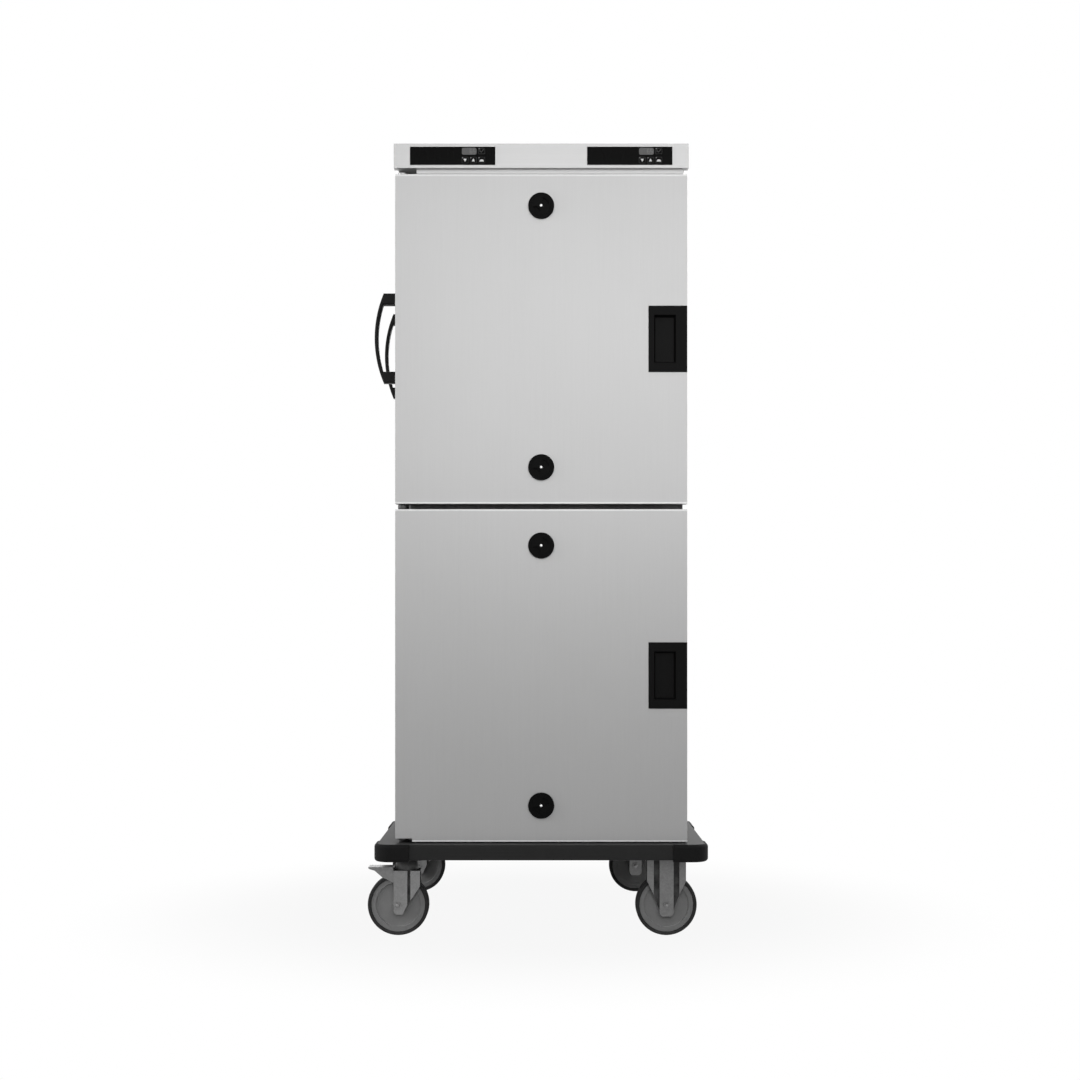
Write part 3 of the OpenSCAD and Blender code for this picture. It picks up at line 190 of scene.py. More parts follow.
def sheet_steel(name, level, grain=GRAIN_Z, roughness=0.31, metallic=0.35, specular=0.5):
    """Ground stainless sheet."""
    f = Finish(name, Metallic=metallic, Specular_IOR_Level=specular)
    colour, _, rougher = ground(f, level, grain)
    f.set("Base Color", colour)
    f.set("Roughness", roughness + rougher)
    return f.material


# Heights of the doors' folds, which carry painted highlights, and half the width of these painted
# highlight lines with and without the lines' soft edges
LOW_FOLD_Z = 0.236
FOLDS_Z = (1.042, 1.0555, 1.854)
FOLD_HALF, FOLD_CORE = 0.0048, 0.0036
# The painted highlight fades between these two places, just behind the doors' face
FOLD_BACK_Y, FOLD_END_Y = -0.4312, -0.43


def door_sheet(name, level, fold_highlight_level, low_fold_highlight_level):
    """Ground sheet with a painted highlight along its folded top and bottom edges, brightest on
    the lowest one.
    """
    f = Finish(name, Metallic=0.2)
    colour, streaks, rougher = ground(f, level, GRAIN_Z)

    def fold(z):
        return f.ramp(abs(f.along(2) - z), FOLD_CORE, FOLD_HALF, 1.0, 0.0)

    outside = f.ramp(f.along(1), FOLD_BACK_Y, FOLD_END_Y, 1.0, 0.0)
    # Masks of the painted highlights on the folds
    upper_fold_highlights = (fold(FOLDS_Z[0]) | fold(FOLDS_Z[1]) | fold(FOLDS_Z[2])) * outside
    low_fold_highlight = fold(LOW_FOLD_Z) * outside
    # Streaks that break up the painted highlights
    wear_and_highlight_streaks = f.spread(streaks, 0.75, 1.0)
    colour = f.blend(upper_fold_highlights * wear_and_highlight_streaks, colour, grey(fold_highlight_level))
    f.set("Base Color", f.blend(low_fold_highlight * wear_and_highlight_streaks, colour, grey(low_fold_highlight_level)))
    f.set("Roughness", 0.31 + rougher - (upper_fold_highlights | low_fold_highlight) * 0.08)
    return f.material


def moulded(name, level, roughness=0.5, pebble=900, depth=0.05, tint=(1, 1, 1), worn=0.0,
            gloss=0.08):
    """Moulded plastic with an eroded texture, rubbed in blots and paler along its edges."""
    f = Finish(name, Specular_IOR_Level=gloss)
    pebbles = f.noise(pebble, detail=2.0)
    wear_and_highlight_streaks = f.noise(22, detail=3.0)
    tone = f.spread(pebbles * 0.6 + wear_and_highlight_streaks * 0.4, 0.0, 1.0)
    colour = f.blend(tone, grey(level * 0.86, tint), grey(level * 1.14 + 1, tint))
    f.set("Base Color", f.blend(f.edges(0.7, wear_and_highlight_streaks) * 0.6, colour, grey(level * 1.2 + 9, tint)))
    f.set("Roughness", roughness - worn + wear_and_highlight_streaks * 2 * worn + pebbles * 0.08)
    f.bump(pebbles, depth, 0.6)
    return f.material


def rubber(name, level, dust=0.0, roughness=0.74):
    """Rubber with fine grain and scuffed edges, and with floor dust that thins out upwards within
    dust metres."""
    f = Finish(name, Specular_IOR_Level=0.1)
    grain = f.noise(1100, detail=2.0)
    scuffs = f.noise(60, (1, 1, 0.5), 4.0, 0.7)
    tone = f.spread(grain * 0.5 + scuffs * 0.5, 0.0, 1.0)
    colour = f.blend(tone, grey(level * 0.82), grey(level * 1.18 + 2))
    colour = f.blend(f.edges(1.2, scuffs) * 0.6, colour, grey(level * 1.2 + 16))
    if dust:
        settled = f.ramp(f.along(2), 0.0, dust, 0.34, 0.02)
        colour = f.blend(settled * f.spread(scuffs, 0.3, 1.4), colour, grey(DUST_LEVEL))
    f.set("Base Color", colour)
    f.set("Roughness", roughness + scuffs * 0.12)
    f.bump(grain * 0.6 + scuffs * 0.4, 0.07, 0.6)
    return f.material


def painted_rail(name, level):
    """Powder-coated extrusion: drawing lines along its length under an orange-peel coat, which
    is knocked off along the edges."""
    f = Finish(name, Metallic=0.05, Specular_IOR_Level=0.15)
    lines = f.noise(420, (0.01, 0.01, 1), 2.0)
    peel = f.noise(650, detail=1.0)
    knocks = f.noise(38, detail=5.0, roughness=0.75)
    tone = f.spread(lines * 0.4 + knocks * 0.6, 0.0, 1.0)
    worn = f.edges(1.0, knocks)
    colour = f.blend(tone, grey(level - 4), grey(level + 5))
    f.set("Base Color", f.blend(worn * 0.7, colour, grey(level + 52)))
    f.set("Roughness", 0.4 + knocks * 0.16 - worn * 0.1)
    f.bump(peel * 0.7 + lines * 0.3, 0.04, 0.5)
    return f.material


def plated(f, level):
    """Faint crystals and duller blots of zinc plating: its colour, blots, worn edges and
    roughness above the smoothest spot."""
    crystals = f.node("RGBToBW", {}, {0: f.cells(260)})
    clouds = f.noise(34, detail=4.0, roughness=0.65)
    fine = f.noise(1300, detail=1.0)
    tone = f.spread(crystals * 0.35 + clouds * 0.65, 0.0, 1.0)
    worn = f.edges(0.6, clouds)
    f.bump(fine * 0.7 + crystals * 0.3, 0.012, 0.5)
    return (f.blend(tone, grey(level - 9), grey(level + 9)), clouds, worn,
            clouds * 0.14 + crystals * 0.04 - worn * 0.08)


def zinc(name, level, roughness=0.34, metallic=0.75, painted_highlight_above=None, painted_highlight_level=0):
    """Zinc-plated pressing. Above an optional height in metres, a painted highlight lifts its
    colour in patches to a given lighter level."""
    f = Finish(name, Metallic=metallic)
    colour, clouds, worn, rougher = plated(f, level)
    # Painted highlight on what sits above the given height
    if painted_highlight_above:
        colour = f.blend((f.along(2) > painted_highlight_above) * f.spread(clouds, 0.8, 1.0), colour,
                         grey(painted_highlight_level))
    f.set("Base Color", f.blend(worn * 0.6, colour, grey(min(level + 50, 240))))
    f.set("Roughness", roughness + rougher)
    return f.material


CASTOR_Y = 0.363
RECESS_Y, RIB_Y = 0.0258, 0.028


def castor_zinc(name, level):
    """Zinc-plated pressing whose grooves beside the ribs are darkened in patches with painted
    shade. A groove's floor lies between RECESS_Y and RIB_Y from the middle of its wheel."""
    f = Finish(name, Metallic=0.7)
    colour, clouds, worn, rougher = plated(f, level)
    from_wheel = abs(abs(f.along(1)) - CASTOR_Y)
    # Painted shade in the grooves beside the ribs, in patches
    dirt_and_groove_shade = f.ramp(from_wheel, RECESS_Y, RIB_Y, 1.0, 0.0) * f.spread(clouds, 0.55, 0.95)
    colour = f.blend(dirt_and_groove_shade, colour, grey(GROOVE_SHADE_LEVEL))
    f.set("Base Color", f.blend(worn * 0.6, colour, grey(level + 50)))
    f.set("Roughness", 0.34 + rougher + dirt_and_groove_shade * 0.4)
    return f.material


def wheel_plastic(name, level):
    """Grey polyamide with a fine mould texture and faint dirt."""
    f = Finish(name, Specular_IOR_Level=0.1)
    fine = f.noise(850, detail=2.0)
    dirt_and_groove_shade = f.noise(48, detail=5.0, roughness=0.7)
    tone = f.spread(fine * 0.35 + dirt_and_groove_shade * 0.65, 0.0, 1.0)
    f.set("Base Color", f.blend(tone, grey(level - 10), grey(level + 7)))
    f.set("Roughness", 0.46 + dirt_and_groove_shade * 0.2)
    f.bump(fine, 0.03, 0.5)
    return f.material


def gloss_panel(name, level):
    """Back-printed gloss film with a few dust specks and wipe marks."""
    f = Finish(name, Specular_IOR_Level=0.02, Coat_Weight=0.03, Coat_Roughness=0.08)
    wipes = f.noise(46, (1, 1, 0.3), 3.0, 0.6)
    specks = f.noise(2400, detail=1.0) > 0.74
    f.set("Base Color", f.blend(specks * 0.5, grey(level), grey(level + 20)))
    f.set("Roughness", 0.2 + wipes * 0.14 + specks * 0.2)
    f.bump(wipes, 0.004, 0.4)
    return f.material


def display_glass(name, level):
    """Unlit display: a fine dot grid under a smoky window."""
    f = Finish(name, Specular_IOR_Level=0.15, Coat_Weight=0.1, Coat_Roughness=0.12)
    grid = f.node("TexChecker", {}, {"Vector": f.place, "Scale": 1600, "Color1": grey(level - 7),
                                     "Color2": grey(level + 7)})
    clouds = f.noise(90, detail=2.0)
    f.set("Base Color", f.blend(clouds * 0.3, grid, grey(level + 10)))
    f.set("Roughness", 0.28 + clouds * 0.1)
    return f.material


def print_ink(name, level):
    """Screen-printed ink, slightly mottled where the film shows through."""
    f = Finish(name, Specular_IOR_Level=0.15)
    mottle = f.noise(1800, detail=2.0)
    tone = f.spread(mottle, 0.0, 1.0)
    f.set("Base Color", f.blend(tone, grey(level * 0.93), grey(min(level * 1.04, 250))))
    f.set("Roughness", 0.42 + mottle * 0.1)
    return f.material


def fibre_wool(name):
    """Mineral wool: tangled fibres from light to dark ochre."""
    f = Finish(name, Specular_IOR_Level=0.1)
    strands = f.noise(240, (1, 1, 5), 6.0, 0.8)
    tufts = f.noise(40, detail=4.0)
    tone = f.spread(strands * 0.6 + tufts * 0.4, 0.0, 1.0)
    f.set("Base Color", f.blend(tone, (0.34, 0.26, 0.1, 1), (0.72, 0.6, 0.32, 1)))
    f.set("Roughness", 0.9 + tufts * 0.08)
    f.bump(strands, 1.2, 0.9)
    return f.material


def heated_steel(name):
    """Tubular element: dark scale with straw and blue heat tints."""
    f = Finish(name, Metallic=0.8)
    tint = f.noise(26, detail=2.0)
    scale = f.noise(700, detail=3.0)
    straw = f.blend(f.spread(tint, 0.0, 1.0), (0.11, 0.08, 0.06, 1), (0.07, 0.08, 0.12, 1))
    f.set("Base Color", f.blend(scale * 0.5, straw, grey(60)))
    f.set("Roughness", 0.42 + scale * 0.2)
    f.bump(scale, 0.03, 0.6)
    return f.material


DOOR_LEVEL = 187
FINISHES = {
    "tray_steel": sheet_steel("tray_steel", 46, GRAIN_X, 0.57, 0.05, 0.3),
    "rail_aluminium": painted_rail("rail_aluminium", 38),
    "bumper_rubber": rubber("bumper_rubber", 23, roughness=0.6),
    "cabinet_steel": sheet_steel("cabinet_steel", DOOR_LEVEL - 4, metallic=0.2),
    "mineral_wool": fibre_wool("mineral_wool"),
    "chamber_steel": sheet_steel("chamber_steel", 166, GRAIN_Y, 0.29, 0.45),
    "fascia_steel": sheet_steel("fascia_steel", DOOR_LEVEL - 6, GRAIN_X),
    "panel_gloss": gloss_panel("panel_gloss", 4),
    "display_window": display_glass("display_window", 96),
    "key_plastic": moulded("key_plastic", 10, 0.36, 1500, 0.015, gloss=0.03),
    # The last two levels are the painted highlights on the upper folds and on the lowest fold
    "door_steel": door_sheet("door_steel", DOOR_LEVEL, 210, 247),
    "gasket_rubber": rubber("gasket_rubber", 40, roughness=0.62),
    "seal_and_gap_shade_rubber": rubber("seal_and_gap_shade_rubber", 116, roughness=0.6),
    "vent_plastic": moulded("vent_plastic", 10, 0.5, 1100, 0.02, gloss=0.05),
    "latch_plastic": moulded("latch_plastic", 17, 0.5, 800, 0.05, worn=0.05, gloss=0.05),
    "lever_plastic": moulded("lever_plastic", 15, 0.46, 800, 0.05, worn=0.07, gloss=0.06),
    "bracket_steel": zinc("bracket_steel", 165, 0.26),
    # The hinge brackets above 1.5 m get a painted highlight
    "hinge_steel": zinc("hinge_steel", 74, 0.32, painted_highlight_above=1.5, painted_highlight_level=190),
    "handle_plastic": moulded("handle_plastic", 30, 0.46, 700, 0.07, worn=0.08),
    "rack_steel": sheet_steel("rack_steel", 172, GRAIN_Y, 0.25, 0.6),
    "fan_aluminium": zinc("fan_aluminium", 176, 0.28, 0.9),
    "motor_paint": moulded("motor_paint", 70, 0.44, 500, 0.08, (0.9, 1.0, 1.1)),
    "heater_steel": heated_steel("heater_steel"),
    "inlet_plastic": moulded("inlet_plastic", 30, 0.42, 1000, 0.03),
    "castor_zinc": castor_zinc("castor_zinc", 126),
    "fixed_zinc": castor_zinc("fixed_zinc", 112),
    "plate_zinc": zinc("plate_zinc", 66, 0.42, 0.5),
    "pedal_zinc": zinc("pedal_zinc", 120, 0.34, 0.7),
    "wheel_plastic": wheel_plastic("wheel_plastic", 162),
    "tyre_rubber": rubber("tyre_rubber", 62, dust=0.03),
    "rivet_steel": zinc("rivet_steel", 236, 0.12, 0.5),
    "cap_steel": zinc("cap_steel", 118, 0.28, 0.8),
    "plate_aluminium": zinc("plate_aluminium", 205, 0.26, 0.6),
    "screw_steel": zinc("screw_steel", 170, 0.22, 0.9),
    "white_ink": print_ink("white_ink", 240),
    "faint_ink": print_ink("faint_ink", 84),
    "lamp_ink": print_ink("lamp_ink", 150),
    "digit_ink": print_ink("digit_ink", 138),
}

# Finish and softened edge, in millimetres, of each carried-over node
NODE_FINISHES = {
    "tray_steel": (0.6, ["base_tray"]),
    "rail_aluminium": (0.4, ["bumper_rails"]),
    "bumper_rubber": (0.8, ["rubber_bumpers"]),
    "cabinet_steel": (0.7, ["cabinet_shell", "top_cover"]),
    "mineral_wool": (0.0, ["wall_insulation", "upper_door_insulation", "lower_door_insulation"]),
    "chamber_steel": (0.0, ["heated_chambers", "fan_covers"]),
    "fascia_steel": (0.6, ["control_fascia"]),
    "panel_gloss": (0.3, ["control_panels"]),
    "display_window": (0.2, ["displays"]),
    "key_plastic": (0.35, [f"{side}_{key}_key" for side in ("left", "right")
                           for key in ("menu", "down", "up", "light")]),
    "door_steel": (0.7, ["upper_door_shell", "lower_door_shell", "upper_door_liner",
                         "lower_door_liner"]),
    "gasket_rubber": (0.6, ["upper_door_gasket", "lower_door_gasket"]),
    "vent_plastic": (0.25, ["upper_vent_seats", "lower_vent_seats", "upper_door_top_vent",
                            "upper_door_bottom_vent", "lower_door_top_vent",
                            "lower_door_bottom_vent"]),
    "latch_plastic": (0.6, ["upper_latch_housing", "lower_latch_housing"]),
    "lever_plastic": (0.5, ["upper_latch_lever", "lower_latch_lever"]),
    "bracket_steel": (0.3, ["latch_strikes"]),
    "hinge_steel": (0.4, ["hinge_brackets"]),
    "handle_plastic": (0.5, ["push_handles"]),
    "rack_steel": (0.0, ["tray_runners"]),
    "fan_aluminium": (0.0, ["upper_fan", "lower_fan"]),
    "motor_paint": (0.8, ["fan_motors"]),
    "heater_steel": (0.0, ["heater_elements"]),
    "inlet_plastic": (0.4, ["power_inlet"]),
    "castor_zinc": (0.5, ["front_swivel_fork", "rear_swivel_fork"]),
    "fixed_zinc": (0.5, ["fixed_forks"]),
    "plate_zinc": (0.5, ["swivel_plates"]),
    "pedal_zinc": (0.5, ["front_brake_pedal", "rear_brake_pedal"]),
    "wheel_plastic": (0.7, [f"{place}_wheel" for place in ("front_swivel", "rear_swivel",
                                                           "front_fixed", "rear_fixed")]),
    "tyre_rubber": (0.5, [f"{place}_tyre" for place in ("front_swivel", "rear_swivel",
                                                        "front_fixed", "rear_fixed")]),
}


# Corners nearer than this are one, in millimetres, and sharper folds than this are rounded
WELD_GAP = 0.01
FOLD_ANGLE = 50
EDGE_STEPS = 2


def dress(node, finish, edge):
    """Gives a node its finish, and rounds its edges inwards by edge millimetres."""
    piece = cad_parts[node]
    if not piece.material_slots:
        piece.data.materials.append(None)
    for place in piece.material_slots:
        place.material = FINISHES[finish]
    if edge:
        weld = piece.modifiers.new("weld", "WELD")
        weld.merge_threshold = WELD_GAP * MM
        soft = piece.modifiers.new("soft_edges", "BEVEL")
        soft.width = edge * MM
        soft.segments = EDGE_STEPS
        soft.limit_method = "ANGLE"
        soft.angle_limit = math.radians(FOLD_ANGLE)
        soft.harden_normals = True


for finish, (edge, nodes) in NODE_FINISHES.items():
    for node in nodes:
        dress(node, finish, edge)


# ---------------------------------------------------------------- added pieces


def add_piece(name, mesh, finish, body):
    """Finishes a bmesh as a piece that rides on a body."""
    bmesh.ops.recalc_face_normals(mesh, faces=mesh.faces)
    data = bpy.data.meshes.new(name)
    mesh.to_mesh(data)
    mesh.free()
    piece = bpy.data.objects.new(name, data)
    bpy.context.scene.collection.objects.link(piece)
    data.materials.append(FINISHES[finish])
    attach(piece, body)


def corners(mesh, loop, y):
    """Corners of an outline of (x, z), standing on the plane y."""
    return [mesh.verts.new(mm(x, y, z)) for x, z in loop]


def skin(mesh, loops):
    """Faces from each loop of corners to the next."""
    for a, b in zip(loops, loops[1:]):
        for i in range(len(a)):
            j = (i + 1) % len(a)
            mesh.faces.new((a[i], b[i], b[j], a[j]))


def slab(mesh, loop, y, thick):
    """Flat solid standing on the plane y and coming forward by thick."""
    back, front = corners(mesh, loop, y), corners(mesh, loop, y - thick)
    mesh.faces.new(back)
    mesh.faces.new(front[::-1])
    skin(mesh, [back, front])


def stroke(mesh, points, width, y, thick):
    """Printed line of an even width through points, as one solid for each stretch."""
    for (x0, z0), (x1, z1) in zip(points, points[1:]):
        length = math.hypot(x1 - x0, z1 - z0)
        ux, uz = (x1 - x0) / length * width / 2, (z1 - z0) / length * width / 2
        slab(mesh, [(x0 - ux - uz, z0 - uz + ux), (x1 + ux - uz, z1 + uz + ux),
                    (x1 + ux + uz, z1 + uz - ux), (x0 - ux + uz, z0 - uz - ux)], y, thick)


def rounded_loop(x, z, w, h, r, steps=5):
    """Outline of a rounded rectangle about (x, z)."""
    loop = []
    for quarter, (sx, sz) in enumerate([(1, 1), (-1, 1), (-1, -1), (1, -1)]):
        for i in range(steps + 1):
            a = math.radians(90 * quarter + 90 * i / steps)
            loop.append((x + sx * (w / 2 - r) + r * math.cos(a),
                         z + sz * (h / 2 - r) + r * math.sin(a)))
    return loop


def ring(mesh, outer, inner, y, thick):
    """Flat frame between two outlines with the same number of points."""
    out_back, out_front = corners(mesh, outer, y), corners(mesh, outer, y - thick)
    in_back, in_front = corners(mesh, inner, y), corners(mesh, inner, y - thick)
    skin(mesh, [out_back, out_front, in_front, in_back, out_back])


def turned(mesh, profile, centre, axis, turns=28, hex_rings=()):
    """Solid turned about axis through centre. Profile holds (radius, rise) from the middle of
    the top outwards and back to the middle; rings in hex_rings are six-sided."""
    axis = Vector(axis).normalized()
    side = axis.orthogonal().normalized()
    other = axis.cross(side)
    rings = []
    for k, (radius, rise) in enumerate(profile):
        middle = mm(*centre) + axis * rise * MM
        if radius == 0:
            rings.append([mesh.verts.new(middle)])
            continue
        loop = []
        for i in range(turns):
            a = math.tau * i / turns
            r = radius * MM
            if k in hex_rings:
                r *= math.cos(math.pi / 6) / math.cos(a % (math.pi / 3) - math.pi / 6)
            outwards = side * math.cos(a) + other * math.sin(a)
            loop.append(mesh.verts.new(middle + outwards * r))
        rings.append(loop)
    for a, b in zip(rings, rings[1:]):
        for i in range(turns):
            j = (i + 1) % turns
            corners = [a[i % len(a)], a[j % len(a)], b[j % len(b)], b[i % len(b)]]
            unique = list(dict.fromkeys(corners))
            if len(unique) > 2:
                mesh.faces.new(unique)
    for face in mesh.faces:
        face.smooth = True


CABINET_X = 14
VENTS = {"upper_door_top": 1777, "upper_door_bottom": 1143.5,
         "lower_door_top": 954, "lower_door_bottom": 324}
VENT_FRONT_Y = -440.8
RIVET_PROFILE = [(0, 1.1), (1.2, 1.0), (2.3, 0.7), (3.1, 0.25), (3.4, -0.3), (0, -0.3)]

for vent, z in VENTS.items():
    mesh = bmesh.new()
    turned(mesh, RIVET_PROFILE, (CABINET_X, VENT_FRONT_Y, z), (0, -1, 0))
    add_piece(f"{vent}_rivet", mesh, "rivet_steel", vent.rsplit("_", 1)[0])

# Control panels: everything printed on the keys and shown in the displays
PANEL_Z = 1895.2
PANELS = {"left": -200, "right": 228}
KEY_FRONT_Y = -447.8
PANEL_FRONT_Y = -447
INK = 0.12
# Printed outline of a key: width, height and corner radius of its outer and inner edge
KEY_LINES = [(15.6, 14.6, 2.4), (14.7, 13.7, 2.0)]
# Lamp in a key's upper left corner: its place from the key's middle, width, height and radius
LAMP_X, LAMP_Z, LAMP = -6.1, 5.4, (2.6, 1.9, 0.7)
# Arrowhead pointing down, about the middle of its key. Pointing up, it sits a little lower.
ARROW = [(-3.7, 2.6), (-2.9, 3.1), (2.9, 3.1), (3.7, 2.6), (0.5, -3.6), (-0.5, -3.6)]
UP_ARROW_DROP = 0.3
# Half disc of the light key, and the menu key's tick with the bow round it
DISC_DROP, DISC_R = 3.6, 5.4
TICK, TICK_W = [(-4.2, 0.6), (-0.8, -3.4), (4.6, 3.6)], 1.5
BOW_R, BOW_ANGLES, BOW_W = 5.9, (60, 200), 0.7
LOW_Z, HIGH_Z = -10.75, 11.35
KEY_PLACES = {"light": (70.1, LOW_Z), "up": (50.1, LOW_Z), "down": (30.1, LOW_Z),
              "menu": (70.1, HIGH_Z)}
DISPLAY_Z = 10.85
DIGITS = "65"
FIRST_DIGIT_X, DIGIT_PITCH = 44.5, 7.6
DIGIT_W, DIGIT_H, DIGIT_BAR = 4.8, 9.6, 0.9


def arc(x, z, r, start, end, steps):
    """Points on an arc about (x, z), from one angle in degrees to another."""
    return [(x + r * math.cos(math.radians(start + (end - start) * i / steps)),
             z + r * math.sin(math.radians(start + (end - start) * i / steps)))
            for i in range(steps + 1)]


def draw_key(mesh, key, x, z):
    """Symbol of a key about its middle."""
    if key == "down":
        slab(mesh, [(x + ax, z + az) for ax, az in ARROW], KEY_FRONT_Y, INK)
    elif key == "up":
        slab(mesh, [(x + ax, z - az - UP_ARROW_DROP) for ax, az in ARROW], KEY_FRONT_Y, INK)
    elif key == "light":
        slab(mesh, arc(x, z - DISC_DROP, DISC_R, 0, 180, 18), KEY_FRONT_Y, INK)
    else:
        stroke(mesh, [(x + tx, z + tz) for tx, tz in TICK], TICK_W, KEY_FRONT_Y, INK)
        stroke(mesh, arc(x, z, BOW_R, *BOW_ANGLES, 10), BOW_W, KEY_FRONT_Y, INK)


# Bars of a seven-bar digit, from one end to the other in halves of its width and height: top,
# upper left, upper right, middle, lower left, lower right, bottom
BAR_ENDS = [((-1, 1), (1, 1)), ((-1, 0), (-1, 1)), ((1, 0), (1, 1)), ((-1, 0), (1, 0)),
            ((-1, -1), (-1, 0)), ((1, -1), (1, 0)), ((-1, -1), (1, -1))]
LIT_BARS = {"6": "1101111", "5": "1101011"}
# Gap between a bar's end and its corner, as a share of the bar's width
BAR_INSET_SHARE = 0.85


def draw_digit(mesh, digit, x, z):
    """Lit bars of a digit about its middle."""
    for lit, ends in zip(LIT_BARS[digit], BAR_ENDS):
        if lit == "1":
            a, b = (Vector((x + ex * DIGIT_W / 2, z + ez * DIGIT_H / 2)) for ex, ez in ends)
            inset = (b - a).normalized() * DIGIT_BAR * BAR_INSET_SHARE
            stroke(mesh, [a + inset, b - inset], DIGIT_BAR, PANEL_FRONT_Y, INK)


for side, panel_x in PANELS.items():
    for key, (kx, kz) in KEY_PLACES.items():
        x, z = panel_x + kx, PANEL_Z + kz
        body = f"{side}_{key}_key"
        mesh = bmesh.new()
        draw_key(mesh, key, x, z)
        add_piece(f"{body}_symbol", mesh, "faint_ink" if key == "menu" else "white_ink", body)
        mesh = bmesh.new()
        outer, inner = (rounded_loop(x, z, *line) for line in KEY_LINES)
        ring(mesh, outer, inner, KEY_FRONT_Y, INK)
        add_piece(f"{body}_outline", mesh, "faint_ink", body)
        mesh = bmesh.new()
        slab(mesh, rounded_loop(x + LAMP_X, z + LAMP_Z, *LAMP), KEY_FRONT_Y, 2 * INK)
        add_piece(f"{body}_lamp", mesh, "lamp_ink", body)
    mesh = bmesh.new()
    for i, digit in enumerate(DIGITS):
        draw_digit(mesh, digit, panel_x + FIRST_DIGIT_X + DIGIT_PITCH * i, PANEL_Z + DISPLAY_Z)
    add_piece(f"{side}_display_digits", mesh, "digit_ink", "trolley")

# Domed ends of the axles, on the nuts at both sides of each fork
CAP_PROFILE = [(0, 2.6), (2.2, 2.4), (4.0, 1.8), (5.2, 0.9), (5.6, 0), (5.6, -0.4), (0, -0.4)]
AXLE_Z = 75
SWIVEL_NUT_Y, FIXED_NUT_Y = 34.5, 32.5
AXLES = {"front_swivel": (-337, -1, SWIVEL_NUT_Y, "front_swivel"),
         "rear_swivel": (-337, 1, SWIVEL_NUT_Y, "rear_swivel"),
         "front_fixed": (321, -1, FIXED_NUT_Y, "trolley"),
         "rear_fixed": (284, 1, FIXED_NUT_Y, "trolley")}

for castor, (x, row, nut_y, body) in AXLES.items():
    mesh = bmesh.new()
    for side in (-1, 1):
        turned(mesh, CAP_PROFILE, (x, row * CASTOR_Y / MM + side * nut_y, AXLE_Z), (0, side, 0))
    add_piece(f"{castor}_axle_caps", mesh, "cap_steel", body)

# Drafted lining of each latch's finger cup, from the cup's rim down to just above the lever. Its
# plastic, darker than the housing's, is partly painted shade on the cup's walls
CUP_X, CUP_W, CUP_H, CUP_R = 314, 52.6, 116.6, 2.8
FOOT_R = 1.2
CUPS = {"upper": 1454.75, "lower": 639}
LINING_FRONT_Y, LINING_BACK_Y = -434.2, -421
LINING_SLOPE = 3.6

for level, z in CUPS.items():
    mesh = bmesh.new()
    rim = rounded_loop(CUP_X, z, CUP_W, CUP_H, CUP_R)
    foot = rounded_loop(CUP_X, z, CUP_W - 2 * LINING_SLOPE, CUP_H - 2 * LINING_SLOPE, FOOT_R)
    front = corners(mesh, rim, LINING_FRONT_Y)
    skin(mesh, [front, corners(mesh, foot, LINING_BACK_Y), corners(mesh, rim, LINING_BACK_Y),
                front])
    add_piece(f"{level}_latch_cup_shade_lining", mesh, "vent_plastic", f"{level}_door")

# Screws: domed heads with a six-sided socket
SCREW_PROFILE = [(0, 0.5), (1.5, 0.5), (1.6, 2.1), (2.6, 1.9), (3.5, 1.2), (3.9, 0.3), (3.9, -0.3),
                 (0, -0.3)]
BACK_Y = 427
HOOD_Z = 1895.5
SIDE_X = 347.5
HOOD_BACK_SCREWS_X = (-320, -107, 107, 320)
HOOD_SIDE_SCREWS_Y = (-330, -80, 170, 400)
BACK_SCREWS_X = (-328, 328)
BACK_SCREWS_Z = range(270, 1851, 226)


def screws(name, places, axis, body="trolley"):
    mesh = bmesh.new()
    for place in places:
        turned(mesh, SCREW_PROFILE, place, axis, 24, (1, 2))
    add_piece(name, mesh, "screw_steel", body)


screws("hood_back_screws", [(CABINET_X + x, BACK_Y, HOOD_Z) for x in HOOD_BACK_SCREWS_X],
       (0, 1, 0))
for name, sign in (("hood_left_screws", -1), ("hood_right_screws", 1)):
    screws(name, [(CABINET_X + sign * SIDE_X, y, HOOD_Z) for y in HOOD_SIDE_SCREWS_Y],
           (sign, 0, 0))

# Steel strip that closes the joint under the hood's front edge, beside the upper hinge
SKIRT_X, SKIRT_Y, SKIRT_Z = (-288, 358), (-432, -429), (1855.4, 1866)
mesh = bmesh.new()
slab(mesh, [(SKIRT_X[0], SKIRT_Z[0]), (SKIRT_X[1], SKIRT_Z[0]), (SKIRT_X[1], SKIRT_Z[1]),
            (SKIRT_X[0], SKIRT_Z[1])], SKIRT_Y[1], SKIRT_Y[1] - SKIRT_Y[0])
add_piece("hood_skirt", mesh, "fascia_steel", "trolley")

# Bare rating plate with a punched border and a rivet at each end, beside the mains inlet
PLATE_X, PLATE_Z, PLATE_W, PLATE_H = 150, 330, 84, 48
PLATE_R, PLATE_T = 4, 0.8
# Border: how much narrower than the plate its outer and inner edges are, and their radii
BORDER_LINES = [(5, 3), (6.4, 2.4)]
BORDER_RISE, BORDER_T = 0.25, 0.4
PLATE_RIVETS_X = (-36, 36)
PLATE_RIVET_PROFILE = [(0, 0.9), (0.9, 0.8), (1.6, 0.4), (1.8, -0.2), (0, -0.2)]
